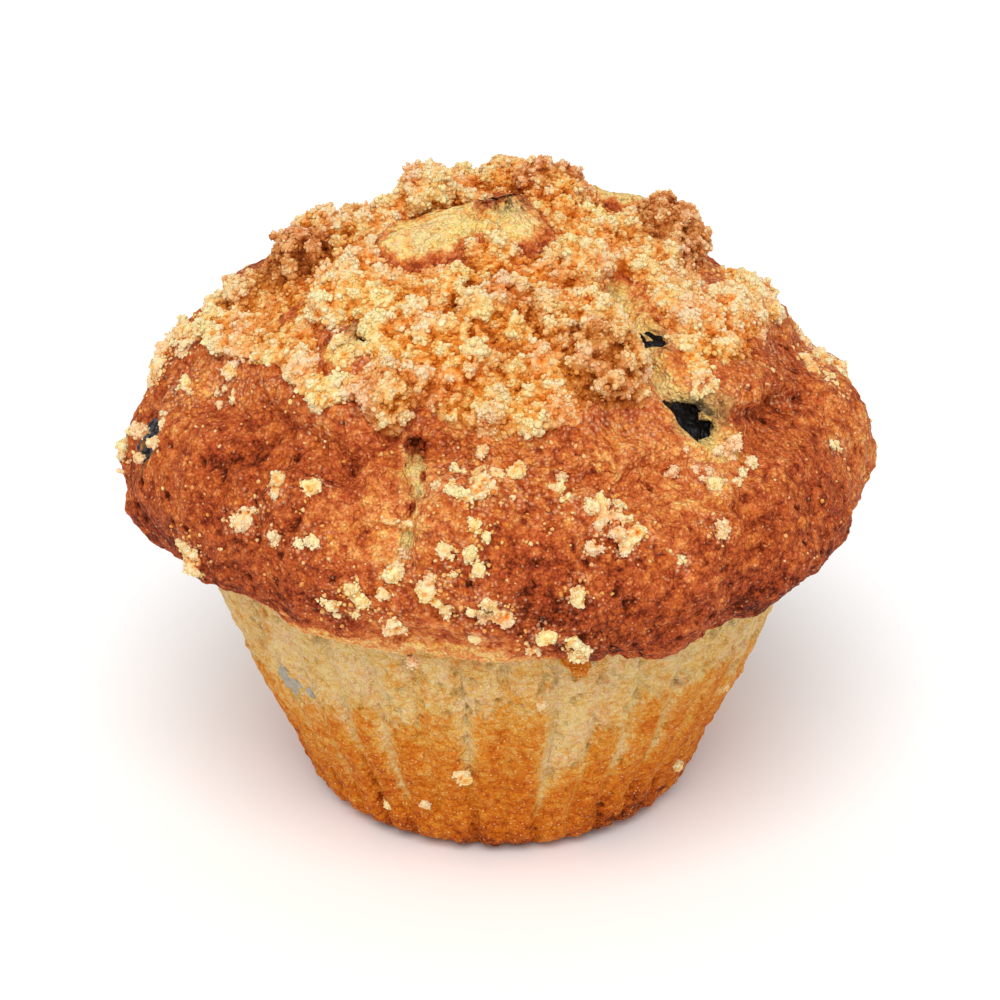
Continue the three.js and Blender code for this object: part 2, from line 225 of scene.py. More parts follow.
def moved_about(points, reach, size):
    """Points moved about by up to reach mm, so that what is measured from them comes out ragged."""
    parts = [noise(points + k, size) + 0.5 * noise(points + k, size / 2.3) for k in (17, 53, 91)]
    return points + reach * np.stack(parts, axis=1)


def cells(points, size):
    """For each point, the distance to the nearest scattered middle, in cells, and that cell's own number."""
    scaled = points / size
    low = np.floor(scaled).astype(np.int64)
    nearest = np.full(len(points), 9.0)
    number = np.zeros(len(points))
    for step in np.ndindex(3, 3, 3):
        cell = low + step - np.array([1, 1, 1])
        middle = cell + np.stack([lattice(*(cell + k).T) for k in (11, 23, 37)], axis=1)
        distance = np.linalg.norm(middle - scaled, axis=1)
        closer = distance < nearest
        nearest = np.where(closer, distance, nearest)
        number = np.where(closer, lattice(*(cell + 53).T), number)
    return nearest, number


def azimuth_of(points):
    return np.degrees(np.arctan2(points[:, 0], -points[:, 1]))


def turn_between(azimuth, other):
    """Degrees from one azimuth to another, from -180 to 180."""
    return (azimuth - other + 540) % 360 - 180


def polar(azimuth, radius, height):
    """Points at an azimuth in degrees, a radius and a height."""
    angle = np.radians(np.asarray(azimuth, float))
    radius = np.asarray(radius, float)
    height = np.broadcast_to(np.asarray(height, float), angle.shape)
    return np.stack([radius * np.sin(angle), -radius * np.cos(angle), height], axis=-1)


def unit(vectors):
    return vectors / np.maximum(np.linalg.norm(vectors, axis=-1, keepdims=True), 1e-9)


def away_from_heart(points):
    return unit(points - HEART)


def path_distance(points, path):
    """Distance from each point to a path of points."""
    nearest = np.full(len(points), 1e9)
    for start, end in zip(path[:-1], path[1:]):
        along = end - start
        share = np.clip((points - start) @ along / (along @ along), 0, 1)
        nearest = np.minimum(nearest, np.linalg.norm(points - start - share[:, None] * along, axis=1))
    return nearest


def spread_out(points, spacing, tries, random):
    """Numbers of points drawn at random that lie at least spacing mm apart."""
    kept = []
    for i in random.permutation(len(points))[:tries]:
        if not kept or np.sum((points[kept] - points[i]) ** 2, axis=1).min() > spacing * spacing:
            kept.append(i)
    return np.array(kept)


# ------------------------------------------------------------------ the muffin's surfaces


def cap_profile(lift):
    """(radius, height) of the plain cap: lift is -90 at the cup, 0 at its widest and 90 at the top."""
    lift = np.radians(np.asarray(lift, float))
    across = np.maximum(np.cos(lift), 0)
    up = np.abs(np.sin(lift))
    dome = np.stack(
        [CAP_RADIUS * across ** (2 / DOME_POWER), WIDEST + DOME_HEIGHT * up ** (2 / DOME_POWER)], axis=-1
    )
    lip_reach = (CAP_RADIUS - CUP_RADIUS) * across ** (2 / LIP_POWER)
    lip = np.stack([CUP_RADIUS + lip_reach, WIDEST - LIP_HEIGHT * up ** (2 / LIP_POWER)], axis=-1)
    return np.where((lift >= 0)[..., None], dome, lip)


def dome_point(azimuth, radius):
    """The point of the plain dome over a radius."""
    radius = np.minimum(np.asarray(radius, float), CAP_RADIUS)
    lift = np.degrees(np.arccos((radius / CAP_RADIUS) ** (DOME_POWER / 2)))
    return polar(azimuth, radius, cap_profile(lift)[..., 1])


def rim_point(azimuth, height):
    """The point of the plain cap at a height, on the lip or on the dome."""
    share = np.asarray(height, float) - WIDEST
    full = np.where(share < 0, LIP_HEIGHT, DOME_HEIGHT)
    power = np.where(share < 0, LIP_POWER, DOME_POWER)
    lift = np.degrees(np.arcsin(np.clip(np.abs(share) / full, 0, 1) ** (power / 2)))
    return polar(azimuth, cap_profile(np.sign(share) * lift)[..., 0], height)


def dome_towards(points):
    """The plain dome's point in the direction of each point from the heart."""
    direction = away_from_heart(points)
    across = np.linalg.norm(direction[:, :2], axis=1)
    up = np.maximum(direction[:, 2], 0)
    reach = (across / CAP_RADIUS) ** DOME_POWER + (up / DOME_HEIGHT) ** DOME_POWER
    return HEART + direction * (reach ** (-1 / DOME_POWER))[:, None]


def path_on_dome(path):
    return np.array([dome_point(azimuth, radius) for azimuth, radius in path])


def hollow_depth(points, hollows):
    deepest = np.zeros(len(points))
    for width, depth, path in hollows:
        far = path_distance(points, path_on_dome(path)) / width
        deepest = np.maximum(deepest, depth * np.exp(-far * far))
    return deepest


def cap_relief(points):
    """How far the cap stands out from its plain shape."""
    lobes = sum(height * noise(points, breadth) for height, breadth in SWELLS)
    calm = smooth((points[:, 2] - CUP_HEIGHT) / 6)
    return lobes * calm - hollow_depth(moved_about(points, 0.5, 2.2), SPLITS + LEDGES)


def lip_drop(azimuth):
    """How far the lip's lower edge hangs down."""
    a = np.radians(azimuth)
    sway = 0.5 + 0.9 * np.sin(a) + 0.4 * np.sin(3 * a + 1) + 0.35 * np.sin(7 * a + 4)
    drips = [length * np.exp(-((turn_between(azimuth, at) / width) ** 2)) for at, width, length in DRIPS]
    return sway + np.max(drips, axis=0)


def baked(plain, lift=0.0):
    """The baked surface over points of the plain cap, and lift mm beyond it."""
    high = smooth((plain[:, 2] - CUP_HEIGHT) / LIP_HEIGHT)
    points = plain + away_from_heart(plain) * (cap_relief(plain) + lift)[:, None]
    points[:, 2] -= high * CAP_TILT * plain[:, 0]
    return points


def cap_surface(plain, lift=0.0):
    """The baked surface, with the lip's edge hanging down."""
    points = baked(plain, lift)
    low = 1 - smooth((plain[:, 2] - CUP_HEIGHT) / LIP_HEIGHT)
    points[:, 2] -= low * lip_drop(azimuth_of(plain))
    at, width, tucked = TUCK
    share = np.exp(-((turn_between(azimuth_of(plain), at) / width) ** 2) - ((plain[:, 2] - 41.8) / 2.6) ** 2)
    return points - unit(plain * [1, 1, 0]) * (tucked * share)[:, None]


def wall_radius(height):
    share = np.clip((height - BASE_ROUND) / (CUP_HEIGHT - BASE_ROUND), 0, 1)
    return BASE_RADIUS + (CUP_RADIUS - BASE_RADIUS) * share + CUP_BULGE * np.sin(np.pi * share)


def heap_reach(azimuth):
    a = np.radians(azimuth)
    lobe = 4.2 * np.exp(-((turn_between(azimuth, 58) / 14) ** 2))
    lobe += 5.0 * np.exp(-((turn_between(azimuth, -88) / 11) ** 2))
    sway = 1.6 * np.sin(2 * a + 2.6) + 1.3 * np.sin(5 * a + 0.8) + 1.2 * np.sin(11 * a + 2)
    return HEAP_RADIUS + sway + lobe


def bareness(plain):
    """Distance in mm past the edge of the nearest bare place: below zero inside it."""
    bare = path_distance(plain, path_on_dome(RIGHT_SPLIT[2])) - SPLIT_BARE
    for azimuth, radius, size in WINDOWS:
        bare = np.minimum(bare, np.linalg.norm(plain - dome_point(azimuth, radius), axis=1) - size)
    return bare


def heap_thickness(plain):
    """How thick the crumble lies over points of the plain dome: below zero where the cake shows."""
    frayed = moved_about(plain, 1.5, 4.2)
    inside = (heap_reach(azimuth_of(frayed)) - np.hypot(frayed[:, 0], frayed[:, 1])) / 2.4
    cover = smooth(np.minimum(inside, bareness(moved_about(plain, 0.9, 2.4)) / BARE_SLOPE))
    lumps = 1.4 * noise(plain, 6.5) + 0.9 * noise(plain, 3.4)
    return -1.5 + (1.5 + HEAP_DEPTH + lumps) * cover


def level(points):
    """Points of the cap with its tilt taken out."""
    return points + np.outer(points[:, 0] * CAP_TILT, [0, 0, 1.0])


def height_over_cake(points):
    """How far points of the crumble stand above the baked dome."""
    straight = level(points)
    plain = dome_towards(straight)
    reach = np.linalg.norm(plain - HEART, axis=1) + cap_relief(plain)
    return np.linalg.norm(straight - HEART, axis=1) - reach


# ------------------------------------------------------------------ mesh helpers


def only(obj):
    """Selects one object and nothing else."""
    bpy.ops.object.select_all(action="DESELECT")
    obj.select_set(True)
    bpy.context.view_layer.objects.active = obj


def coordinates(obj):
    flat = np.empty(len(obj.data.vertices) * 3, np.float32)
    obj.data.vertices.foreach_get("co", flat)
    return flat.reshape(-1, 3).astype(float) / MM


def set_coordinates(obj, points):
    obj.data.vertices.foreach_set("co", (points * MM).astype(np.float32).ravel())
    obj.data.update()


def normals_of(obj):
    flat = np.empty(len(obj.data.vertices) * 3, np.float32)
    obj.data.vertices.foreach_get("normal", flat)
    return flat.reshape(-1, 3).astype(float)


def edges_of(obj):
    flat = np.empty(len(obj.data.edges) * 2, np.int32)
    obj.data.edges.foreach_get("vertices", flat)
    return flat.reshape(-1, 2)


def blurred(values, edges, rounds):
    """Rows of values of the vertices, evened out along the edges."""
    count = values.shape[1]
    ends = np.concatenate([edges[:, 0], edges[:, 1]])
    others = np.concatenate([edges[:, 1], edges[:, 0]])
    degree = np.maximum(np.bincount(ends, minlength=count), 1)
    for _ in range(rounds):
        around = [np.bincount(ends, weights=row[others], minlength=count) / degree for row in values]
        values = 0.5 * values + 0.5 * np.array(around)
    return values


def bulge(points, edges, outward, rounds):
    """How far each vertex stands out from its surroundings, as a share of the usual amount."""
    around = blurred(points.T, edges, rounds).T
    out = np.einsum("ij,ij->i", points - around, outward)
    return np.clip(out / np.std(out), -2.5, 2.5)


def paint(obj, name, values):
    """Writes a number for each vertex, which the materials read by name."""
    layer = obj.data.attributes.new(name, "FLOAT", "POINT")
    layer.data.foreach_set("value", np.clip(values, 0, 1).astype(np.float32))


def new_object(name, mesh):
    obj = bpy.data.objects.new(name, mesh)
    bpy.context.collection.objects.link(obj)
    return obj


def turned(name, profile, segments):
    """A closed round shape: (radius, height) points in mm, spun round the middle."""
    mesh = bpy.data.meshes.new(name)
    points = [(0.0, -radius * MM, height * MM) for radius, height in profile]
    mesh.from_pydata(points, [(i, i + 1) for i in range(len(points) - 1)], [])
    obj = new_object(name, mesh)
    only(obj)
    bpy.ops.object.mode_set(mode="EDIT")
    bpy.ops.mesh.select_all(action="SELECT")
    bpy.ops.mesh.spin(steps=segments, angle=2 * math.pi, center=(0, 0, 0), axis=(0, 0, 1))
    bpy.ops.mesh.select_all(action="SELECT")
    bpy.ops.mesh.remove_doubles(threshold=0.002 * MM)
    bpy.ops.mesh.normals_make_consistent(inside=False)
    bpy.ops.object.mode_set(mode="OBJECT")
    return obj


def subdivided(obj, levels):
    modifier = obj.modifiers.new("finer", "SUBSURF")
    modifier.levels = levels
    modifier.render_levels = levels
    only(obj)
    bpy.ops.object.modifier_apply(modifier=modifier.name)
    return obj


def remeshed(obj, voxel):
    modifier = obj.modifiers.new("fused", "REMESH")
    modifier.mode = "VOXEL"
    modifier.voxel_size = voxel * MM
    only(obj)
    bpy.ops.object.modifier_apply(modifier=modifier.name)
    return obj


def joined(first, *others):
    only(first)
    for other in others:
        other.select_set(True)
    bpy.ops.object.join()
    return first


def mesh_of_triangles(name, points, triangles):
    mesh = bpy.data.meshes.new(name)
    mesh.vertices.add(len(points))
    mesh.vertices.foreach_set("co", (points * MM).astype(np.float32).ravel())
    mesh.loops.add(triangles.size)
    mesh.loops.foreach_set("vertex_index", triangles.astype(np.int32).ravel())
    mesh.polygons.add(len(triangles))
    mesh.polygons.foreach_set("loop_start", np.arange(0, triangles.size, 3, dtype=np.int32))
    mesh.update(calc_edges=True)
    return mesh


def shade_smooth(obj):
    obj.data.polygons.foreach_set("use_smooth", np.ones(len(obj.data.polygons), bool))
    obj.data.update()


ball_shapes = {}


def ball_shape(detail):
    """Corners and triangles of a ball of radius 1."""
    if detail not in ball_shapes:
        bpy.ops.object.select_all(action="DESELECT")
        bpy.ops.mesh.primitive_ico_sphere_add(subdivisions=detail, radius=1.0)
        ball = bpy.context.object
        corners = np.array([v.co for v in ball.data.vertices])
        triangles = np.array([p.vertices for p in ball.data.polygons])
        bpy.data.objects.remove(ball)
        ball_shapes[detail] = (unit(corners), triangles)
    return ball_shapes[detail]


def stones(name, middles, sizes, detail, roughness, stretch, random):
    """One mesh of many uneven stones."""
    corners, triangles = ball_shape(detail)
    count = len(middles)
    axes = np.linalg.qr(random.normal(size=(count, 3, 3)))[0]
    axes *= np.sign(np.linalg.det(axes))[:, None, None]
    lengths = 1 + stretch * random.uniform(-1, 1, (count, 1, 3))
    rough = 1 + roughness * random.uniform(-1, 1, (count, len(corners), 1))
    shaped = (corners[None] * rough * lengths) @ axes
    points = middles[:, None] + shaped * sizes[:, None, None]
    faces = triangles[None] + (np.arange(count) * len(corners))[:, None, None]
    return new_object(name, mesh_of_triangles(name, points.reshape(-1, 3), faces.reshape(-1, 3)))


def nodules(name, middles, sizes, random):
    """Lumpy balls of stuck crumb, before they are fused."""
    balls = stones(name, middles, sizes, 3, 0.05, 0.25, random)
    points = coordinates(balls)
    out = unit(points - np.repeat(middles, len(ball_shape(3)[0]), axis=0))
    share = np.repeat(np.minimum(sizes, 1.6), len(ball_shape(3)[0]))
    lumps = 0.42 * noise(points, 1.7) + 0.24 * noise(points, 0.8)
    set_coordinates(balls, points + out * (share * lumps)[:, None])
    return balls


# ------------------------------------------------------------------ materials


def linear(red, green, blue):
    """A colour given as 0 to 255 on screen, as the shaders want it."""

    def channel(value):
        share = value / 255
        return share / 12.92 if share <= 0.04045 else ((share + 0.055) / 1.055) ** 2.4

    return (channel(red), channel(green), channel(blue), 1.0)


class Nodes:
    """Adds and joins the nodes of one tree."""

    def __init__(self, tree):
        self.tree = tree

    def put(self, socket, value):
        if isinstance(value, bpy.types.NodeSocket):
            self.tree.links.new(value, socket)
        else:
            socket.default_value = value

    def add(self, kind, inputs=(), **settings):
        node = self.tree.nodes.new(kind)
        for name, value in settings.items():
            setattr(node, name, value)
        for name, value in dict(inputs).items():
            self.put(node.inputs[name], value)
        return node

    def math(self, operation, first, second=0.0, third=0.0, clamp=False):
        node = self.add("ShaderNodeMath", operation=operation, use_clamp=clamp)
        for socket, value in zip(node.inputs, (first, second, third)):
            self.put(socket, value)
        return node.outputs[0]

    def blend(self, share, first, second, mode="MIX"):
        node = self.add("ShaderNodeMix", data_type="RGBA", blend_type=mode)
        for name, value in ((0, share), (6, first), (7, second)):
            self.put(node.inputs[name], value)
        return node.outputs[2]

    def ramp(self, value, stops):
        node = self.add("ShaderNodeValToRGB", {"Fac": value})
        elements = node.color_ramp.elements
        while len(elements) < len(stops):
            elements.new(0.5)
        for element, (place, colour) in zip(elements, stops):
            element.position = place
            element.color = linear(*colour)
        return node.outputs["Color"]

    def attribute(self, name):
        return self.add("ShaderNodeAttribute", attribute_name=name).outputs["Fac"]

    def object_place(self):
        return self.add("ShaderNodeTexCoord").outputs["Object"]

    def shifted(self, value, middle, share, base, clamp=False):
        """base + share * (value - middle)"""
        return self.math("MULTIPLY_ADD", self.math("SUBTRACT", value, middle), share, base, clamp)


def grain_group():
    """Sugary grain over a surface.

    The Tint output runs from 0 in the gaps to 1 on bright grains: painted shade in the gaps and painted light on the
    grains' middles, with each grain's own tone. "Glint" marks the glinting grains, "Number" is each grain's own
    number and "Dome" is 1 on its middle.
    """
    group = bpy.data.node_groups.new("sugar grain", "ShaderNodeTree")
    size = group.interface.new_socket("Grain size", in_out="INPUT", socket_type="NodeSocketFloat")
    size.default_value = 0.45
    for name in ("Height", "Tint", "Glint", "Number", "Dome"):
        group.interface.new_socket(name, in_out="OUTPUT", socket_type="NodeSocketFloat")
    nodes = Nodes(group)
    inputs = nodes.add("NodeGroupInput")
    outputs = nodes.add("NodeGroupOutput")
    place = nodes.object_place()
    scale = nodes.math("DIVIDE", 1 / MM, inputs.outputs["Grain size"])
    shake_scale = nodes.math("MULTIPLY", scale, 0.8)
    shake = nodes.add("ShaderNodeTexNoise", {"Vector": place, "Scale": shake_scale, "Detail": 1.0}).outputs["Color"]
    reach = nodes.math("MULTIPLY", inputs.outputs["Grain size"], 0.7 * MM)
    shaken = nodes.add("ShaderNodeVectorMath", {0: shake, 1: reach, 2: place}, operation="MULTIPLY_ADD")
    grains = nodes.add("ShaderNodeTexVoronoi", {"Vector": shaken.outputs[0], "Scale": scale})
    lump_scale = nodes.math("MULTIPLY", scale, 0.44)
    lumps = nodes.add("ShaderNodeTexVoronoi", {"Vector": shaken.outputs[0], "Scale": lump_scale})
    dust_scale = nodes.math("MULTIPLY", scale, 1.7)
    dust = nodes.add("ShaderNodeTexNoise", {"Vector": place, "Scale": dust_scale, "Detail": 2.0}).outputs["Fac"]
    own = nodes.add("ShaderNodeSeparateColor", {"Color": grains.outputs["Color"]})
    lump_own = nodes.add("ShaderNodeSeparateColor", {"Color": lumps.outputs["Color"]}).outputs[0]
    ball = nodes.math("SUBTRACT", 1.0, grains.outputs["Distance"])
    squared = nodes.math("MULTIPLY", grains.outputs["Distance"], grains.outputs["Distance"])
    dome = nodes.math("MULTIPLY_ADD", squared, -2.2, 1.0, clamp=True)
    squared = nodes.math("MULTIPLY", lumps.outputs["Distance"], lumps.outputs["Distance"])
    lump = nodes.math("MULTIPLY_ADD", squared, -1.6, 1.0, clamp=True)
    height = nodes.math("MULTIPLY_ADD", dust, 0.5, nodes.math("MULTIPLY_ADD", dome, 0.6, lump))
    # Painted shade and light: lighter on the middles of the grains and lumps and darker in the gaps, plus the own
    # tone of each grain, lump and speck of dust.
    tint_and_gap_shade = nodes.math("MULTIPLY_ADD", ball, 0.3, nodes.math("MULTIPLY", own.outputs[0], 0.3))
    tint_and_gap_shade = nodes.math("MULTIPLY_ADD", dust, 0.75, tint_and_gap_shade)
    tint_and_gap_shade = nodes.math("MULTIPLY_ADD", lump, 0.24, tint_and_gap_shade)
    tint_and_gap_shade = nodes.math("MULTIPLY_ADD", lump_own, 0.26, tint_and_gap_shade)
    tint_and_gap_shade = nodes.math("SUBTRACT", tint_and_gap_shade, 0.42)
    rare = nodes.math("GREATER_THAN", own.outputs[1], 0.8)
    top = nodes.math("LESS_THAN", grains.outputs["Distance"], 0.3)
    glint = nodes.math("MULTIPLY", rare, top)
    values = {"Height": height, "Tint": tint_and_gap_shade, "Glint": glint, "Number": own.outputs[2], "Dome": dome}
    for name, value in values.items():
        group.links.new(value, outputs.inputs[name])
    return group


GRAIN = grain_group()
TINT_MIDDLE = 0.53

CAP_COLOURS = [
    (0.0, (255, 232, 158)),
    (0.14, (252, 208, 122)),
    (0.3, (240, 164, 92)),
    (0.46, (220, 128, 66)),
    (0.6, (198, 100, 48)),
    (0.75, (170, 76, 38)),
    (0.88, (132, 54, 24)),
    (1.0, (86, 32, 10)),
]
CUP_COLOURS = [
    (0.0, (234, 208, 150)),
    (0.2, (228, 186, 110)),
    (0.4, (222, 154, 58)),
    (0.6, (212, 120, 24)),
    (0.8, (180, 86, 20)),
    (1.0, (100, 42, 12)),
]
# painted highlight: the colour of a glint of light on a sugar grain
PAINTED_SUGAR_GLINT = linear(255, 222, 172)
STREWN_SUGAR = linear(236, 178, 132)  # fine crumb strewn over the crust
DULL = 0.06  # specular level of baked crumb
CRUMB_GLOW = (1.0, 0.6, 0.36)  # how far light goes in, as red, green and blue


def glowing(shader, share, reach):
    """Lets a share of the light up to reach mm into the crumb."""
    shader.inputs["Subsurface Weight"].default_value = share
    shader.inputs["Subsurface Radius"].default_value = CRUMB_GLOW
    shader.inputs["Subsurface Scale"].default_value = reach * MM


def grained(nodes, shader, grain_size, roughness, bump_height, strength):
    """Gives a shader the sugary grain's bump and gloss, and returns the grain node."""
    grain = nodes.add("ShaderNodeGroup", node_tree=GRAIN)
    grain.inputs["Grain size"].default_value = grain_size
    gloss = nodes.math("MULTIPLY_ADD", grain.outputs["Glint"], -0.3, roughness)
    nodes.put(shader.inputs["Roughness"], gloss)
    shader.inputs["Specular IOR Level"].default_value = DULL
    bump = nodes.add("ShaderNodeBump", {"Height": grain.outputs["Height"]})
    bump.inputs["Strength"].default_value = strength
    bump.inputs["Distance"].default_value = bump_height * MM
    nodes.put(shader.inputs["Normal"], bump.outputs[0])
    return grain


def new_material(name):
    material = bpy.data.materials.new(name)
    material.use_nodes = True
    return material, Nodes(material.node_tree), material.node_tree.nodes["Principled BSDF"]


def crust_material(name, colours, grain_size, bump_height, speckle_and_gap_shade, blotches, painted_glint_share):
    """Baked crumb: "browned" runs from pale crumb to dark crust, and "damp" from olive crumb to berry juice.

    "strewn" is how thickly fine crumb lies on it. The last three numbers say how strongly the colour changes from
    grain to grain, with painted shade in the gaps between grains, and over a few mm, and how strongly the glinting
    grains get a painted highlight.
    """
    material, nodes, shader = new_material(name)
    glowing(shader, 0.15, 0.5)
    grain = grained(nodes, shader, grain_size, 0.6, bump_height, 0.9)
    place = nodes.object_place()
    patches = nodes.add("ShaderNodeTexNoise", {"Vector": place, "Scale": 480.0, "Detail": 4.0}).outputs["Fac"]
    uneven = nodes.shifted(patches, 0.5, blotches, nodes.attribute("browned"))
    # Painted shade in the gaps between grains and painted light on their middles, with each grain's own tone, shift
    # the browning.
    speckled_and_gap_shaded = nodes.shifted(grain.outputs["Tint"], TINT_MIDDLE, -speckle_and_gap_shade, uneven, clamp=True)
    colour = nodes.ramp(speckled_and_gap_shaded, colours)
    hues = nodes.add("ShaderNodeTexNoise", {"Vector": place, "Scale": 210.0, "Detail": 2.0}).outputs["Fac"]
    own_hue = nodes.math("MULTIPLY_ADD", grain.outputs["Number"], 0.4, nodes.math("MULTIPLY", hues, 0.6))
    hue_stops = [(0.3, (255, 244, 212)), (0.5, (255, 252, 252)), (0.7, (252, 230, 242))]
    colour = nodes.blend(1.0, colour, nodes.ramp(own_hue, hue_stops), "MULTIPLY")
    damp_and_pore_shade = nodes.attribute("damp_and_pore_shade")
    # The olive darkens where the crumb is browner and in the painted shade between grains.
    deeper = nodes.ramp(speckled_and_gap_shaded, [(0.0, (255, 255, 255)), (1.0, (130, 96, 60))])
    olive = nodes.blend(1.0, linear(222, 196, 126), deeper, "MULTIPLY")
    # Olive as the damp attribute rises, for olive crumb and for painted shade in pores and holes; dark berry juice
    # above 0.72.
    colour = nodes.blend(nodes.math("MULTIPLY", damp_and_pore_shade, 1.2, clamp=True), colour, olive)
    dark = nodes.math("MULTIPLY", nodes.math("SUBTRACT", damp_and_pore_shade, 0.72, clamp=True), 3.4, clamp=True)
    colour = nodes.blend(dark, colour, linear(66, 48, 54))
    over = nodes.math("ADD", nodes.attribute("strewn"), grain.outputs["Number"])
    lies = nodes.math("MULTIPLY", nodes.math("SUBTRACT", over, 1.0, clamp=True), 4.0, clamp=True)
    lies = nodes.math("MULTIPLY", lies, grain.outputs["Dome"])
    colour = nodes.blend(nodes.math("MULTIPLY", lies, 0.7), colour, STREWN_SUGAR)
    # Painted highlight: the glinting grains are lightened towards the glint colour.
    painted_glint = nodes.math("MULTIPLY", grain.outputs["Glint"], painted_glint_share)
    colour = nodes.blend(painted_glint, colour, PAINTED_SUGAR_GLINT)
    nodes.put(shader.inputs["Base Color"], colour)
    return material


def crumble_material(name):
    """Crumble: "tone" runs from brown to pale cream, with painted shade in the hollows at the brown end and painted
    light where it bulges out at the pale end; "toast" browns it.
    """
    material, nodes, shader = new_material(name)
    glowing(shader, 0.3, 0.7)
    grain = grained(nodes, shader, 0.34, 0.55, 0.25, 0.7)
    # Painted shade in the gaps between grains and painted light on their middles, with each grain's own tone, shift
    # the tone.
    tone = nodes.shifted(grain.outputs["Tint"], TINT_MIDDLE, 0.32, nodes.attribute("tone"), clamp=True)
    plain = nodes.ramp(
        tone,
        [
            (0.0, (172, 76, 10)),
            (0.24, (228, 132, 40)),
            (0.48, (250, 178, 94)),
            (0.74, (255, 214, 146)),
            (1.0, (255, 236, 188)),
        ],
    )
    toasted = nodes.ramp(
        tone,
        [
            (0.0, (106, 44, 8)),
            (0.3, (176, 94, 36)),
            (0.62, (224, 150, 86)),
            (1.0, (252, 204, 152)),
        ],
    )
    colour = nodes.blend(nodes.attribute("toast"), plain, toasted)
    place = nodes.object_place()
    hues = nodes.add("ShaderNodeTexNoise", {"Vector": place, "Scale": 170.0, "Detail": 2.0}).outputs["Fac"]
    hue_stops = [(0.36, (255, 255, 238)), (0.5, (255, 252, 250)), (0.64, (254, 236, 240))]
    colour = nodes.blend(1.0, colour, nodes.ramp(hues, hue_stops), "MULTIPLY")
    # Painted highlight on the glinting grains.
    painted_glint = nodes.math("MULTIPLY", grain.outputs["Glint"], 0.25)
    nodes.put(shader.inputs["Base Color"], nodes.blend(painted_glint, colour, PAINTED_SUGAR_GLINT))
    return material


def berry_material():
    material, nodes, shader = new_material("berry skin")
    place = nodes.object_place()
    # Specks from this noise and each berry's bloom run the colour from near-black to pale: the haze on the hazy
    # berries is bloom, and the brightest specks elsewhere are painted glints.
    bloom = nodes.add("ShaderNodeTexNoise", {"Vector": place, "Scale": 1300.0, "Detail": 4.0}).outputs["Fac"]
    bloom_and_painted_glint = nodes.math("MULTIPLY_ADD", bloom, 0.8, nodes.attribute("bloom"), clamp=True)
    stops = [(0.46, (6, 5, 8)), (0.58, (26, 24, 30)), (0.74, (84, 82, 88)), (1.0, (172, 164, 148))]
    nodes.put(shader.inputs["Base Color"], nodes.ramp(bloom_and_painted_glint, stops))
    nodes.put(shader.inputs["Roughness"], nodes.math("MULTIPLY_ADD", bloom_and_painted_glint, 0.5, -0.05, clamp=True))
    shader.inputs["Specular IOR Level"].default_value = 0.12
    wrinkle = nodes.add("ShaderNodeTexNoise", {"Vector": place, "Scale": 1900.0, "Detail": 3.0}).outputs["Fac"]
    bump = nodes.add("ShaderNodeBump", {"Height": wrinkle})
    bump.inputs["Strength"].default_value = 0.8
    bump.inputs["Distance"].default_value = 0.4 * MM
    nodes.put(shader.inputs["Normal"], bump.outputs[0])
    return material


# ------------------------------------------------------------------ berries

BERRY_COVER = 0.3  # skin lies this far under the crust
HOLE_DEPTH = 1.9
HAZY_BERRIES = {"berry_left": 0.22, "berry_side": 0.6, "berry_back_side": 0.4}


class Berry:
    """A berry's middle, radius and outward direction, from its box in the frame."""

    def __init__(self, name):
        low, high = (np.array(corner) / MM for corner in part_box(name))
        self.name = name
        self.middle = (low + high) / 2
        self.radius = float(np.mean(high - low)) / 2
        self.hole, self.narrow, self.right, self.up = BERRY_HOLES[name]
        self.on_cap = self.middle[2] > CUP_HEIGHT
        self.outward = away_from_heart(self.middle) if self.on_cap else unit(self.middle * [1, 1, 0])
        self.crust_level = 0.6 * self.radius

    def settle(self, points, normals):
        """Turns the berry to face straight out of the crust around it."""
        near = np.linalg.norm(points - self.middle - self.outward * 2, axis=1) < self.radius
        if near.sum() > 20:
            self.outward = unit(normals[near].sum(axis=0))
            close = near & (self.across(points) < 0.4 * self.radius)
            if close.any():
                self.crust_level = float(np.mean((points[close] - self.middle) @ self.outward))

    def across(self, points):
        """Distance from the hole's middle line, straight out of the crust, stretched sideways."""
        sideways = unit(np.cross([0, 0, 1.0], self.outward))
        lengthwise = unit(np.cross(self.outward, sideways))
        offset = points - self.middle - sideways * self.right - lengthwise * self.up
        offset = offset - (offset @ self.outward)[:, None] * self.outward
        return np.linalg.norm(offset + np.outer((offset @ sideways) * (self.narrow - 1), sideways), axis=1)

    def hole_over(self, points):
        """How open the crust is over the berry, and how damp, at each point."""
        ragged = 1 + 0.26 * noise(points, 2.6) + 0.34 * noise(points, 1.3)
        bridge = smooth((noise(points + 40, 1.6) - 0.3) / 0.2)
        across = self.across(points)
        near = np.linalg.norm(points - self.middle, axis=1) < 1.8 * self.radius
        opened = smooth((self.hole * ragged - across) / 0.5) * (1 - bridge)
        rim = smooth((self.hole * ragged + 1.5 - across) / 1.6)
        return near * opened, near * np.maximum(0.95 * opened, 0.55 * rim)


def open_crust(berries, points, normals):
    """How far the crust is pushed in over the berries, and how damp it is."""
    opened = np.zeros(len(points))
    damp_and_pore_shade = np.zeros(len(points))
    for berry in berries:
        berry.settle(points, normals)
        own_hole, own_damp = berry.hole_over(points)
        opened = np.maximum(opened, own_hole)
        damp_and_pore_shade = np.maximum(damp_and_pore_shade, own_damp)
    return HOLE_DEPTH * opened, damp_and_pore_shade


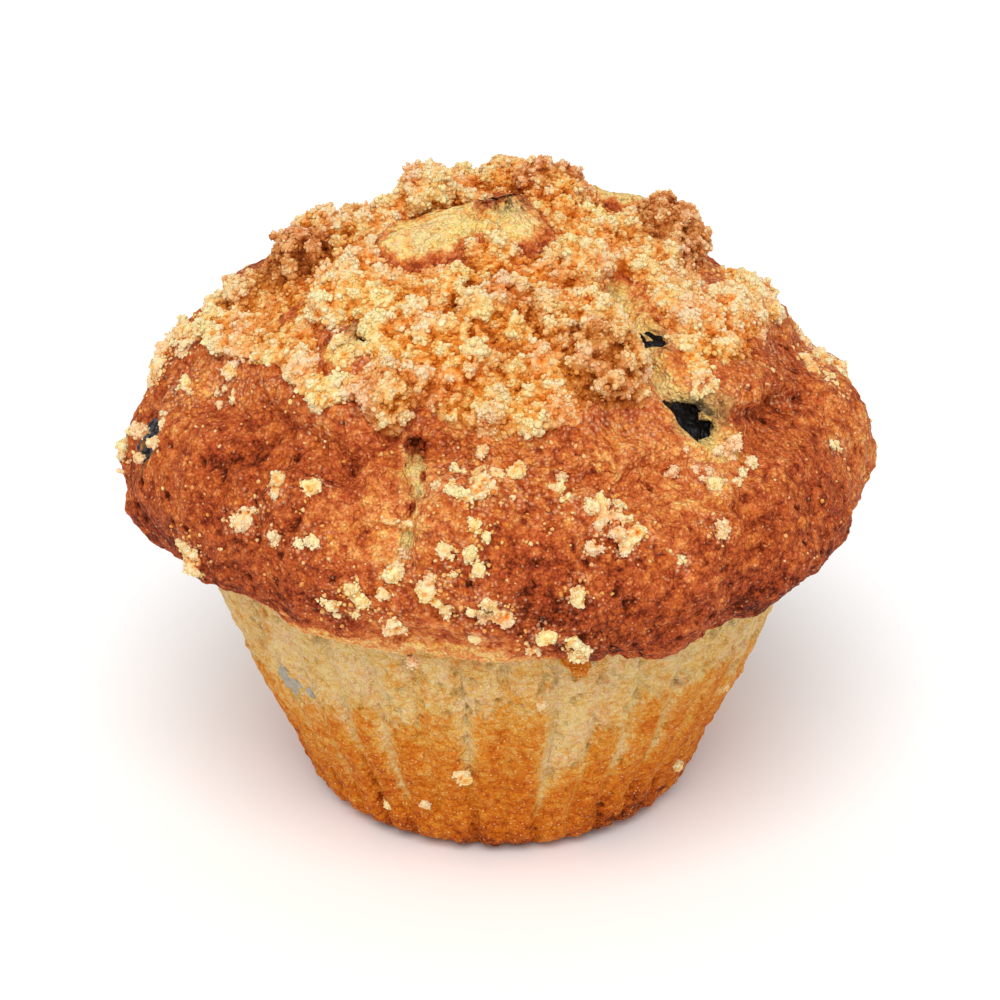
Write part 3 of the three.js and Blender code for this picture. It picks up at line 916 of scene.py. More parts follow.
def make_berry_skin(berry):
    """A baked berry: its outer side is pressed level with the crust, and its skin is wrinkled."""
    corners, triangles = ball_shape(5)
    points = berry.middle + corners * berry.radius * 0.94
    over = np.maximum((points - berry.middle) @ berry.outward - berry.crust_level + BERRY_COVER, 0)
    points -= berry.outward * (over * 0.8)[:, None]
    folds = np.abs(noise(points, 1.8)) + 0.6 * np.abs(noise(points, 0.9))
    points += corners * (0.8 * (folds - 0.5))[:, None]
    skin = new_object(berry.name + "_skin", mesh_of_triangles(berry.name + "_skin", points, triangles))
    paint(skin, "bloom", np.full(len(points), HAZY_BERRIES.get(berry.name, 0.0)))
    shade_smooth(skin)
    return skin


# ------------------------------------------------------------------ the cap

CAP_SEGMENTS = 184
LIP_LIFTS = np.linspace(-90, 0, 10)
DOME_LIFTS = [4, 8, 12, 16, 20, 24, 28, 32, 36, 40, 45, 51, 58, 66, 75, 84, 90]

# where the cap is browner (or paler, below zero): azimuth, height, breadth, by how much
CAP_PATCHES = [
    (4, 60, 9, -0.14),
    (20, 59, 9, -0.12),
    (36, 60, 8, -0.05),
    (80, 54, 14, -0.07),
    (45, 45, 12, 0.08),
    (-48, 59, 9, 0.08),
    (-66, 58, 6, -0.12),
    (-4, 43, 8, -0.12),
    (5, 51, 9, 0.20),
    (-14, 40, 6, -0.08),
    (-60, 46, 9, 0.04),
    (-28, 40, 5, -0.24),
    (-15, 39.5, 5, -0.34),
    (-2, 39.5, 5, -0.32),
    (-30, 48, 9, 0.16),
    (-21, 55, 5, -0.20),
    (-26, 46, 6, 0.10),
    (150, 50, 14, 0.06),
    (-130, 56, 10, -0.08),
]


# painted shade deep in the splits: azimuth, height, breadth
PAINTED_SHADE_PLACES = [(-16.0, 63.4, 1.2), (-14.0, 57.2, 0.9), (-13.5, 60.5, 0.6)]


def creases(plain):
    """How creased the crust is, from 0 to 1, and how deep, in mm."""
    share = np.zeros(len(plain))
    deep = np.zeros(len(plain))
    for width, depth, path in CREASES:
        line = np.array([rim_point(azimuth, height) for azimuth, height in path])
        far = path_distance(plain, line) / width
        share = np.maximum(share, np.exp(-far * far))
        deep = np.maximum(deep, depth * np.exp(-far * far))
    return share, deep


def strewn_near(points, plain, rows):
    """How thickly fine crumb lies on the cap: about the fallen clusters and along the heap's foot."""
    thick = np.zeros(len(points))
    for azimuth, height, _, spread in rows:
        far = np.linalg.norm(plain - rim_point(azimuth, height), axis=1) / (1.5 * spread + 1.1)
        thick = np.maximum(thick, np.exp(-far * far))
    out = np.hypot(plain[:, 0], plain[:, 1]) - heap_reach(azimuth_of(plain))
    foot = smooth(1 - out / 5) * (plain[:, 2] > WIDEST)
    patchy = np.clip(0.55 + 0.9 * noise(points, 3.0), 0, 1)
    thick = np.maximum(thick * np.clip(0.75 + 0.5 * noise(points, 1.6), 0, 1), 0.6 * foot * patchy)
    broad = smooth((layered(plain + 20, 9.0) - 0.1) / 0.5) * smooth((points[:, 2] - 40) / 8)
    return np.maximum(thick, 0.2 * broad * patchy)


def make_cap(berries, rows):
    lip = cap_profile(LIP_LIFTS)
    dome = cap_profile(np.array(DOME_LIFTS, float))
    dome[-1, 0] = 0
    floor = CUP_HEIGHT - 4
    profile = [(0, floor), (CUP_RADIUS - 4, floor), *lip, *dome]
    cap = subdivided(turned("cap", profile, CAP_SEGMENTS), 2)
    plain = coordinates(cap)
    showing = plain[:, 2] > floor + 0.5
    points = np.where(showing[:, None], cap_surface(plain), plain)
    set_coordinates(cap, points)
    outward = normals_of(cap)
    azimuth = azimuth_of(points)

    ragged = moved_about(plain, 0.5, 2.2)
    torn = moved_about(plain, 0.6, 2.0)
    split = hollow_depth(torn, [(w * 0.9, 1.0, path) for w, _, path in SPLITS])
    ledge = hollow_depth(ragged, [(w, 1.0, path) for w, _, path in LEDGES])
    bare = smooth(-bareness(ragged) / 1.2 + 0.6) * smooth((points[:, 2] - 60) / 4)
    pale = np.clip(np.maximum(1.2 * split, bare), 0, 1)
    pebble, _ = cells(points, 1.25)
    pore_cell, pore_number = cells(points, 1.9)
    pore = smooth((0.27 - pore_cell) / 0.12) * (pore_number > 0.62)
    hole_cell, hole_number = cells(points + 20, 1.5)
    crumb_hole = pale * smooth((0.38 - hole_cell) / 0.14) * (hole_number > 0.45)
    lines = smooth((0.11 - np.abs(noise(points, 5.2))) / 0.11) * smooth((noise(points + 60, 8.0) + 0.05) / 0.3)
    crease, furrow = creases(ragged)
    crease = np.maximum(crease, 0.6 * lines)
    lobes = 0.9 * noise(points + 9, 9.0) + 0.6 * noise(points, 5.0) + 0.42 * noise(points, 2.6)
    for at, height, breadth, rise in LOBES:
        far = np.linalg.norm(plain - rim_point(at, height), axis=1) / breadth
        lobes += rise * np.exp(-far * far)
    relief = lobes + 0.45 * (0.5 - pebble) + 0.26 * noise(points, 0.9) - 0.5 * pore - 0.5 * lines - furrow
    relief *= 1 - 0.5 * split
    relief += pale * (0.4 * noise(points, 1.9) + 0.2 * noise(points, 0.8)) - 0.45 * crumb_hole
    filled = smooth((2.6 - bareness(ragged)) / 2.6) * smooth((points[:, 2] - 60) / 4)
    relief += 1.4 * filled * (1 - split)
    depth, damp_and_pore_shade = open_crust([b for b in berries if b.on_cap], points, outward)
    relief = np.where(showing, relief - depth, 0)
    set_coordinates(cap, points + outward * relief[:, None])

    high_lobe = bulge(points + outward * relief[:, None], edges_of(cap), outward, 40)
    low = smooth((WIDEST + 1 - points[:, 2]) / 9)
    # high_lobe makes lobes that bulge out a little paler and hollows browner: painted light and shade.
    browned = 0.60 + 0.18 * low + 0.16 * layered(points, 8.0) - 0.05 * high_lobe
    for at, height, breadth, browner in CAP_PATCHES:
        far = np.linalg.norm(points - rim_point(at, height), axis=1) / breadth
        browned += browner * np.exp(-far * far)
    # Browner at the edges of the pebble cells: painted shade between the grains.
    browned += 0.10 * (pebble - 0.5) - 0.10 * ledge
    bare_rim = bare * smooth((bareness(ragged) + 1.6) / 1.6) * (1 - split)
    bare_rim *= np.clip(0.4 + 1.2 * noise(points, 3.0), 0, 1)
    browned = browned * (1 - pale) + (0.02 + 0.14 * noise(points, 2.2) + 0.2 * bare_rim) * pale
    lip_edge = smooth((41.6 + 1.2 * noise(points, 2.0) + 0.7 * noise(points, 0.9) - plain[:, 2]) / 1.4)
    lip_edge *= smooth((30 - np.abs(turn_between(azimuth, -17))) / 8)
    browned = browned * (1 - lip_edge) + 0.22 * lip_edge
    # Browner in the pores and creases: painted shade.
    browned += 0.32 * pore * (1 - pale) + 0.06 * crease
    # Olive in the holes of the pale crumb: painted shade; and olive inside the splits, more on the left.
    in_split = split * (np.where(azimuth < 0, 0.62, 0.24) + 0.3 * noise(points, 1.6))
    damp_and_pore_shade = np.maximum(damp_and_pore_shade, np.maximum(0.3 * crumb_hole, pale * in_split))
    # Painted shade deep in the splits: the crust is darkened towards dark brown and loses its olive.
    for at, height, breadth in PAINTED_SHADE_PLACES:
        far = np.linalg.norm(plain - rim_point(at, height), axis=1) / breadth
        dark = smooth(1.6 - far)
        browned = browned + (0.88 - browned) * dark
        damp_and_pore_shade = damp_and_pore_shade * (1 - dark)
    paint(cap, "browned", browned)
    paint(cap, "damp_and_pore_shade", damp_and_pore_shade)
    paint(cap, "strewn", strewn_near(points, plain, rows) * (1 - pale))
    shade_smooth(cap)
    return cap


# ------------------------------------------------------------------ the cup

CUP_SEGMENTS = 160
ROUND_STEPS = 5
WALL_STEPS = 17
FRONT_PLEATS = -5  # the first of the grooves and flutes listed below, counted from the front
GROOVE_DEPTHS = [0.6, 1.1, 0.95, 0.3, 1.15, 0.3, 1.0, 0.35, 0.7]
FLUTE_RISES = [0, 1.5, -1, 2.0, 3.0, 1.5, -10, -1, 4, 6, 5]  # how much higher the browning of a flute reaches
BROWNING_HEIGHTS = [0, 1.5, 4, 9, 14, 19, 23, 27, 33, 39]
BROWNING = [0.84, 0.74, 0.66, 0.61, 0.58, 0.51, 0.40, 0.25, 0.15, 0.12]


def tongue_over(azimuth, height):
    """Where batter ran down the cup from the lip: 1 on each tongue."""
    cover = np.zeros(len(azimuth))
    for at, width, tip in TONGUES:
        share = np.clip((height - tip) / (CUP_HEIGHT - tip), 0, 1)
        inside = width * np.sqrt(share) * (0.55 + 0.45 * share) - np.abs(turn_between(azimuth, at))
        cover = np.maximum(cover, smooth(inside / 0.7) * (share > 0))
    return cover


def listed(number, values, otherwise):
    """The listed value of each groove or flute at the front, and another value elsewhere."""
    place = number - FRONT_PLEATS
    inside = (place >= 0) & (place < len(values))
    return np.where(inside, np.array(values)[np.clip(place, 0, len(values) - 1)], otherwise)


def up_and_down(points, share):
    """Points whose height counts only by a share, so that a pattern on them runs up and down."""
    return points * np.array([1, 1, share])


def make_cup(berries):
    round_angles = np.radians(np.linspace(-90, -12, ROUND_STEPS + 1))
    inner = BASE_RADIUS - BASE_ROUND
    edge = [(inner + BASE_ROUND * math.cos(a), BASE_ROUND + BASE_ROUND * math.sin(a)) for a in round_angles]
    wall_heights = np.linspace(BASE_ROUND + 1.5, CUP_HEIGHT + 1, WALL_STEPS + 1)
    wall = [(float(wall_radius(z)), z) for z in wall_heights]
    top = CUP_HEIGHT + 4
    profile = [(0, 0), (inner * 0.6, 0), *edge, *wall, (CUP_RADIUS - 3, top), (0, top)]
    cup = subdivided(turned("cup", profile, CUP_SEGMENTS), 2)
    plain = coordinates(cup)
    radius = np.hypot(plain[:, 0], plain[:, 1])
    azimuth = azimuth_of(plain)
    height = plain[:, 2]
    side = smooth((radius - inner) / 4) * (height < top - 1)

    around = polar(azimuth, BASE_RADIUS, height / 2)
    turn = (azimuth - PLEAT_START) * PLEATS / 360 + 0.09 * noise(around, 4.0)
    pleat = np.round(turn).astype(np.int64)
    from_groove = np.abs(turn - pleat)
    hashed = lattice(pleat, pleat * 0 + 5, pleat * 0 + 7)
    depth = listed(pleat, GROOVE_DEPTHS, 0.25 + 0.95 * hashed * hashed)
    depth = depth * (0.85 + 0.3 * noise(around, 3.0))
    wide = 1 + 0.35 * noise(around, 3.0)
    groove = np.exp(-((from_groove / (0.15 * wide)) ** 2))
    strip_width = wide * np.interp(height, [6, 20, 30], [0.13, 0.2, 0.3])
    strip = np.exp(-((from_groove / strip_width) ** 2)) * smooth((depth - 0.15) / 0.6)
    fade = smooth(height / 2.0) * side
    flute = np.floor(turn).astype(np.int64)
    flute_number = lattice(flute, flute * 0 + 3, flute * 0 + 9)
    crown = 0.5 * np.sqrt(np.clip(np.sin(np.pi * np.clip(from_groove, 0, 0.5)), 0, 1)) - 0.28
    tongue = tongue_over(azimuth + 0.8 * noise(plain, 2.0), height + 0.5 * noise(plain + 5, 1.5))
    relief = fade * (crown - 0.7 * depth * groove) * (1 - tongue) + 0.9 * tongue

    stretched = up_and_down(plain, 0.5)
    rise = listed(flute, FLUTE_RISES, 9 * (flute_number - 0.55))
    ragged = 3.2 * layered(stretched, 6.0) + 1.5 * noise(plain, 1.8) + 0.8 * noise(plain, 0.8)
    peeled = smooth((height - 24 - 0.8 * rise - ragged) / 0.6)
    peeled *= (lattice(flute, flute * 0 + 1, flute * 0 + 2) > 0.35) * (1 - tongue)
    relief -= 0.5 * peeled * fade
    peeled_edge = 4 * peeled * (1 - peeled)
    direction = unit(plain * [1, 1, 0])
    rounded = smooth((BASE_ROUND - height) / BASE_ROUND)[:, None]
    direction = unit(direction - np.array([0, 0, 0.5]) * rounded)
    points = plain + direction * relief[:, None]
    points[:, 2] = np.maximum(points[:, 2], 0)
    set_coordinates(cup, points)
    outward = normals_of(cup)

    high = smooth((height - 20 - rise) / 8)
    porous = np.clip(0.35 + 0.5 * high + 0.6 * strip, 0, 1)
    pebble, _ = cells(points, 1.3)
    pore_cell, pore_number = cells(up_and_down(points, 0.75), 1.6)
    pore = smooth((0.2 + 0.2 * porous - pore_cell) / 0.14) * (pore_number > 1.0 - 0.5 * porous)
    crumb = 0.3 * (0.5 - pebble) + (0.15 + 0.25 * high) * noise(points, 2.2) + 0.2 * noise(points, 0.9)
    crumb -= (0.25 + 0.45 * porous) * pore
    pushed, damp_and_pore_shade = open_crust([b for b in berries if not b.on_cap], points, outward)
    final = points + outward * (side * crumb - pushed)[:, None]
    final[:, 2] = np.maximum(final[:, 2], 0)
    set_coordinates(cup, final)

    browned = np.interp(height - 0.75 * rise - 0.9 * ragged, BROWNING_HEIGHTS, BROWNING)
    edge_brown = np.interp(height, [0, 0.8, 2.4], [0.94, 0.74, 0.0])
    strip_pale = 0.95 * strip * smooth((height - 3.5 - 8 * hashed * hashed) / 8)
    browned = browned * (1 - strip_pale) + 0.06 * strip_pale
    # Paler along the peeled step's edge: the torn crumb's own colour and a painted highlight on the raised edge.
    browned = np.maximum(browned, edge_brown) - 0.10 * peeled - 0.18 * peeled_edge
    browned += 0.08 * layered(stretched, 4.0) + 0.03 * noise(points, 1.5)
    stained = smooth((noise(up_and_down(plain, 0.2) + 70, 2.4) - 0.2) / 0.3) * smooth((height - 28) / 6)
    # The pore term browns the pores low on the cup: painted shade.
    browned += 0.12 * pore * (1 - high) - 0.07 * noise(points, 0.9) + 0.2 * stained
    browned = browned * (1 - tongue) + (0.62 + 0.1 * noise(points, 1.5)) * tongue
    # Olive in the pores of the pale crumb: painted shade; with faint olive patches at random.
    olive = np.maximum(high, strip_pale) * (0.3 * pore + 0.08 * smooth(noise(points, 2.4) / 0.5))
    paint(cup, "browned", browned)
    paint(cup, "damp_and_pore_shade", np.maximum(damp_and_pore_shade, olive * (1 - tongue)))
    paint(cup, "strewn", 0.25 * smooth(layered(points, 4.0) / 0.4) * smooth((height - 30) / 8))
    shade_smooth(cup)
    return cup


# ------------------------------------------------------------------ the crumble

CORE_VOXEL = 0.8
HEAP_VOXEL = 0.42
CORE_SUNK = 0.9  # the core lies this far under the heap's solid, to leave room for the nodules
NODULE_SPACING = 1.75
HEAP_GRAINS = 28000
MOST_GRAINS = 9600  # in one piece

# patches of the heap: azimuth, radius on the dome, breadth, paler by, more toasted by, lower by in mm
PATCHES = [
    (80, 27, 9, 0.20, -0.15, 0.0),
    (40, 12, 6, 0.12, 0.0, 0.0),
    (50, 24, 6, 0.16, -0.1, 0.0),
    (-42, 28, 7, 0.14, -0.2, 0.0),
    (24, 29, 5, -0.10, 0.25, 0.0),
    (0, 30, 6, 0.04, 0.0, 0.0),
    (-30, 12, 7, -0.02, 0.0, 0.0),
    (-72, 32, 8, 0.06, 0.1, 0.3),
    (-100, 12, 6, 0.06, 0.10, 0.0),
    (160, 10, 7, -0.10, 0.15, 0.0),
    (-10, 36, 6, -0.06, 0.10, 0.6),
    (20, 37, 6, -0.06, 0.10, 0.6),
    (-140, 31, 7, 0.0, 0.1, 1.6),
    (-115, 20, 5, 0.0, 0.1, 1.2),
    (120, 31, 7, 0.0, 0.1, 2.0),
    (100, 33, 5, 0.10, 0.0, 1.4),
    (148, 24, 6, 0.0, 0.0, 3.5),
    (-34, 34, 5, 0.12, -0.1, 0.0),
    (-100, 31, 6, 0.0, 0.0, 2.0),
    (165, 9, 5, 0.0, 0.0, 1.2),
    (-150, 12, 6, 0.0, 0.0, 1.0),
    (58, 36, 6, -0.06, 0.3, 0.3),
    (-160, 8, 4, 0.0, 0.0, 2.4),
    (-115, 34, 6, 0.0, 0.0, 4.5),
    (-78, 25, 6, -0.20, 0.4, 0.0),
    (100, 20, 6, -0.12, 0.3, 0.0),
    (158, 9, 6, -0.12, 0.15, 0.0),
    (10, 6, 7, -0.08, 0.1, 0.0),
]


def patched(plain, column):
    """The sum of one column of the patches over points of the plain dome."""
    total = np.zeros(len(plain))
    for patch in PATCHES:
        far = np.linalg.norm(plain - dome_point(patch[0], patch[1]), axis=1) / patch[2]
        total += patch[column] * np.exp(-far * far)
    return total


def heap_block():
    """The heap's own mass, from a little under the dome up to its lumpy top."""
    top = cap_profile(np.linspace(HEAP_EDGE - 4, 90, 16))
    top[-1, 0] = 0
    root = [(radius * 0.88, height - HEAP_ROOT - 3) for radius, height in top[::-1]]
    block = subdivided(turned("streusel", [*root, *top], 96), 2)
    plain = coordinates(block)
    over = dome_point(azimuth_of(plain), np.hypot(plain[:, 0], plain[:, 1]))
    is_top = plain[:, 2] > over[:, 2] - HEAP_ROOT / 2
    lift = heap_thickness(plain) - CORE_SUNK - patched(plain, 5) + 0.5 * noise(plain, 2.2)
    set_coordinates(block, np.where(is_top[:, None], baked(plain, lift), plain))
    return block


def big_clumps():
    """Middle, radius and toast of the largest clumps."""
    rows = np.array(CLUMPS)
    plain = dome_point(rows[:, 0], rows[:, 1])
    return baked(plain, heap_thickness(plain) - CORE_SUNK - 0.1 * rows[:, 2]), rows[:, 2] - 0.8, rows[:, 3]


def make_heap(clumps, random):
    """The heap with its clumps and nodules, fused into one body."""
    middles, sizes, _ = clumps
    core = remeshed(joined(heap_block(), nodules("clumps", middles, sizes, random)), CORE_VOXEL)
    points = coordinates(core)
    outward = normals_of(core)
    over = height_over_cake(points)
    showing = np.flatnonzero((over > 0.05) & (noise(points, 3.0) + over > 0.1))
    starts = showing[spread_out(points[showing], NODULE_SPACING, 9000, random)]
    sizes = 0.6 + 1.3 * random.uniform(size=len(starts)) ** 1.6
    sizes *= np.clip(over[starts] / 1.6, 0.4, 1)
    middles = points[starts] + outward[starts] * (sizes * random.uniform(-0.6, 0.15, len(starts)))[:, None]
    heap = remeshed(joined(core, nodules("nodules", middles, sizes, random)), HEAP_VOXEL)
    points = coordinates(heap)
    grain, _ = cells(points, 0.95)
    rough = 0.34 * (0.5 - grain) + 0.16 * noise(points, 0.8)
    set_coordinates(heap, points + normals_of(heap) * rough[:, None])
    shade_smooth(heap)
    return heap


def toast_at(points, clumps):
    """How toasted the crumble is: the exposed clumps most."""
    browned = np.zeros(len(points))
    for middle, size, toast in zip(*clumps):
        far = np.linalg.norm(points - middle, axis=1) / size
        up = (points - middle) @ away_from_heart(middle) / size
        share = smooth((1.7 - far) / 0.5) * (0.5 + 0.5 * np.clip(up + 0.3, 0, 1))
        browned = np.maximum(browned, toast * share)
    return browned


def crumble_tones(body, fine, broad):
    """Tone of a fused body of crumble: painted light where it bulges out and painted shade in its hollows, near and
    far, with a tone of its own per grain.
    """
    points = coordinates(body)
    outward = normals_of(body)
    edges = edges_of(body)
    _, own = cells(points, 2.1)
    bulge_light_and_shade = 0.10 * bulge(points, edges, outward, fine) + 0.085 * bulge(points, edges, outward, broad)
    return points, outward, 0.47 + bulge_light_and_shade + 0.24 * (own - 0.5)


def strewn(points, outward, weights, count, small, large, random):
    """Numbers of the places, middles and sizes of grains that lie on a surface."""
    places = random.choice(len(points), count, replace=False, p=weights / weights.sum())
    sizes = small + (large - small) * random.uniform(size=count) ** 2
    rise = sizes * (random.uniform(-0.75, 0.25, count) + 0.6 * (random.uniform(size=count) > 0.85))
    middles = points[places] + outward[places] * rise[:, None] + random.uniform(-0.14, 0.14, (count, 3))
    return places, middles, sizes


def grain_piece(name, middles, sizes, tone, toast, random):
    grains = stones(name, middles, sizes, 1, 0.26, 0.35, random)
    corners = len(ball_shape(1)[0])
    paint(grains, "tone", np.repeat(tone, corners))
    paint(grains, "toast", np.repeat(toast, corners))
    return grains


def make_crumble(random):
    clumps = big_clumps()
    heap = make_heap(clumps, random)
    points, outward, tone = crumble_tones(heap, 4, 40)
    plain = dome_towards(level(points))
    tone += patched(plain, 3) + 0.14 * layered(points, 7.0)
    toast = toast_at(points, clumps) + patched(plain, 4) + 0.5 * layered(points + 90, 6.0)
    over = height_over_cake(points)
    thin = 1 - smooth(over / 1.6)
    tone -= 0.10 * thin
    toast += 0.2 * thin
    paint(heap, "tone", tone - 0.02)
    paint(heap, "toast", toast)

    weights = (over > 0.1) * (0.6 + np.clip(tone, 0, 1))
    count = min(HEAP_GRAINS, int(0.8 * np.sum(over > 0.1)))
    places, middles, sizes = strewn(points, outward, weights, count, 0.17, 0.44, random)
    grain_tone = tone[places] + 0.04 + random.normal(0, 0.10, count)
    grain_toast = toast[places] + random.normal(0, 0.10, count)
    pieces = [heap]
    kinds = np.array_split(np.argsort(grain_tone), 3)
    for kind, chosen in zip(("toasted_grains", "golden_grains", "pale_grains"), kinds):
        chosen = chosen[:MOST_GRAINS]
        parts = (middles[chosen], sizes[chosen], grain_tone[chosen], grain_toast[chosen])
        pieces.append(grain_piece(kind, *parts, random))
    return pieces


# ------------------------------------------------------------------ loose crumbs

# clusters that lie on the cap: azimuth, height, how many nodules, spread in mm
SPILLS = [
    (-36.8, 56.7, 3, 0.8),
    (-30.5, 57.5, 3, 0.7),
    (-40.5, 52.3, 5, 1.4),
    (-34.5, 51.7, 2, 0.5),
    (-28.2, 52.7, 3, 0.8),
    (-8, 60.1, 5, 1.4),
    (-3, 60, 4, 1.3),
    (-2.8, 57, 4, 0.9),
    (-7.5, 54.1, 4, 0.6),
    (-4.2, 54.3, 4, 0.6),
    (-3, 52.5, 3, 0.5),
    (-6.8, 51.7, 4, 0.6),
    (-15, 50.8, 7, 1.0),
    (-9.5, 49.4, 7, 1.1),
    (-7.3, 47, 5, 0.8),
    (-24.8, 45.6, 6, 1.2),
    (-21.2, 47, 5, 1.0),
    (-17, 47.8, 2, 0.5),
    (-15.5, 44.6, 3, 0.6),
    (-2.5, 47, 6, 1.1),
    (0.2, 47.2, 6, 0.9),
    (-1, 48.6, 5, 0.9),
    (-3.2, 43.8, 2, 0.5),
    (-16.8, 44, 4, 1.0),
    (4.5, 41.8, 4, 0.8),
    (6.8, 44.2, 3, 0.6),
    (9.8, 43.4, 4, 0.7),
    (12.2, 42, 6, 0.9),
    (15.5, 57.3, 10, 1.6),
    (18.8, 56.7, 7, 1.3),
    (13.5, 54.3, 3, 0.4),
    (20, 55.1, 5, 1.0),
    (11.2, 59.5, 5, 1.5),
    (37.5, 59.2, 7, 1.3),
    (33.5, 54.6, 3, 0.6),
    (27, 52.3, 1, 0.4),
    (11.5, 49.8, 4, 0.9),
    (-1.2, 61.1, 8, 2.2),
    (-4.8, 60.8, 6, 1.6),
    (2.5, 61, 7, 1.8),
    (-52.8, 44.2, 16, 1.3),
    (-88, 60.5, 16, 1.9),
    (-80, 58.5, 18, 1.5),
    (84, 61, 16, 1.6),
    (-80, 62.5, 12, 1.8),
    (-97, 60, 12, 1.7),
    (-104, 57, 8, 1.6),
    (-60, 63, 8, 2.2),
    (-68, 60, 6, 1.8),
    (95, 58, 8, 2.0),
    (106, 52, 4, 1.0),
    (68, 56, 3, 1.0),
]
HIDDEN_SPILLS = 30  # clusters on the side away from the front
# crumbs that stuck to the cup: azimuth, height, how many nodules, spread in mm
CUP_CRUMBS = [
    (-32, 6.6, 1, 0.2),
    (-19.5, 8.7, 1, 0.2),
    (-8.2, 15.4, 2, 0.5),
    (-14.8, 35.5, 2, 0.4),
    (7.5, 29.5, 1, 0.3),
    (58.5, 19.8, 3, 0.5),
    (57.2, 7.8, 5, 0.7),
    (135, 22, 2, 0.5),
    (-150, 14, 2, 0.4),
    (-95, 26, 2, 0.5),
]
RIM_CRUMBS = 14  # round each berry in the cap
SPILL_VOXEL = 0.24
SPILL_GRAINS = 9000
DUST_GRAINS = 900


def on_cap(near):
    """Points of the baked cap under points close to its plain shape."""
    height = np.clip(near[:, 2], CUP_HEIGHT + 0.5, WIDEST + DOME_HEIGHT - 0.5)
    return cap_surface(rim_point(azimuth_of(near), height))


def landed(cap, near):
    """Points of the finished cap under points close to its plain shape."""
    finished = cap.evaluated_get(bpy.context.evaluated_depsgraph_get())
    heart = Vector(HEART * MM)
    places = [finished.ray_cast(heart, Vector(out))[1] for out in away_from_heart(on_cap(near))]
    return np.array(places) / MM


def on_cup(near):
    radius = wall_radius(near[:, 2]) + 0.1
    return polar(azimuth_of(near), radius, near[:, 2])


def scattered(centre, outward, count, spread, random):
    """Points about a centre, across the surface."""
    sideways = unit(np.cross([0, 0, 1.0], outward))
    lengthwise = unit(np.cross(outward, sideways))
    spots = random.normal(size=(count, 2)) * spread * 0.62
    return centre + spots[:, :1] * sideways + spots[:, 1:] * lengthwise


def spill_rows(random):
    """All clusters on the cap, as the list of those at the front has them."""
    rows = list(SPILLS)
    for _ in range(HIDDEN_SPILLS):
        azimuth, height = random.uniform(75, 285), random.uniform(44, 63)
        rows.append((azimuth, height, random.integers(2, 9), random.uniform(0.6, 1.8)))
    return rows


def crumbs_round(berry, random):
    """Places of the crumbs that cling to the torn crust round a berry."""
    sideways = unit(np.cross([0, 0, 1.0], berry.outward))
    lengthwise = unit(np.cross(berry.outward, sideways))
    angles = random.uniform(0, 2 * math.pi, RIM_CRUMBS)
    reach = (berry.hole + 0.5) * random.uniform(0.5, 1.4, RIM_CRUMBS)
    across = np.outer(reach * np.cos(angles) / berry.narrow, sideways)
    return berry.middle + across + np.outer(reach * np.sin(angles), lengthwise)


def spilled_clusters(cap, rows, berries, random):
    """Middles and outward directions of the nodules that fell on the cap and the cup."""
    cap_starts = [crumbs_round(berry, random) for berry in berries if berry.on_cap]
    for azimuth, height, count, spread in rows:
        centre = rim_point(azimuth, height)
        cap_starts.append(scattered(centre, away_from_heart(centre), count, spread, random))
    cap_starts = landed(cap, np.concatenate(cap_starts))
    for berry in berries:
        in_hole = np.linalg.norm(cap_starts - berry.middle, axis=1) < berry.radius
        cap_starts += away_from_heart(cap_starts) * ((HOLE_DEPTH + 0.6) * in_hole)[:, None]
    cup_starts = []
    for azimuth, height, count, spread in CUP_CRUMBS:
        centre = polar(azimuth, wall_radius(height), height)
        cup_starts.append(scattered(centre, unit(centre * [1, 1, 0]), count, spread, random))
    cup_starts = on_cup(np.concatenate(cup_starts))
    outward = np.concatenate([away_from_heart(cap_starts), unit(cup_starts * [1, 1, 0])])
    return np.concatenate([cap_starts, cup_starts]), outward


def make_spill(cap, rows, berries, random):
    """Crumbs that fell on the cap and the cup in little clusters, and the grains on them."""
    starts, out = spilled_clusters(cap, rows, berries, random)
    sizes = 0.36 + 0.6 * random.uniform(size=len(starts)) ** 1.6
    middles = starts + out * (sizes * random.uniform(-0.35, 0.45, len(starts)))[:, None]
    spill = remeshed(nodules("spilled_crumbs", middles, sizes, random), SPILL_VOXEL)
    points = coordinates(spill)
    rough = 0.16 * noise(points, 0.8) + 0.10 * noise(points, 0.45)
    set_coordinates(spill, points + normals_of(spill) * rough[:, None])
    shade_smooth(spill)
    points, outward, tone = crumble_tones(spill, 5, 20)
    _, own = cells(points, 4.0)
    toast = 0.1 + 0.5 * (own - 0.5)
    tone += 0.12 * noise(points, 5.0)
    paint(spill, "tone", tone + 0.14)
    paint(spill, "toast", toast)
    count = min(SPILL_GRAINS, int(0.4 * len(points)))
    places, middles, sizes = strewn(points, outward, 0.3 + np.clip(tone, 0, 1), count, 0.13, 0.3, random)
    grain_tone = tone[places] + 0.15 + random.normal(0, 0.12, count)
    grains = grain_piece("spilled_grains", middles, sizes, grain_tone, toast[places], random)
    return [spill, grains]


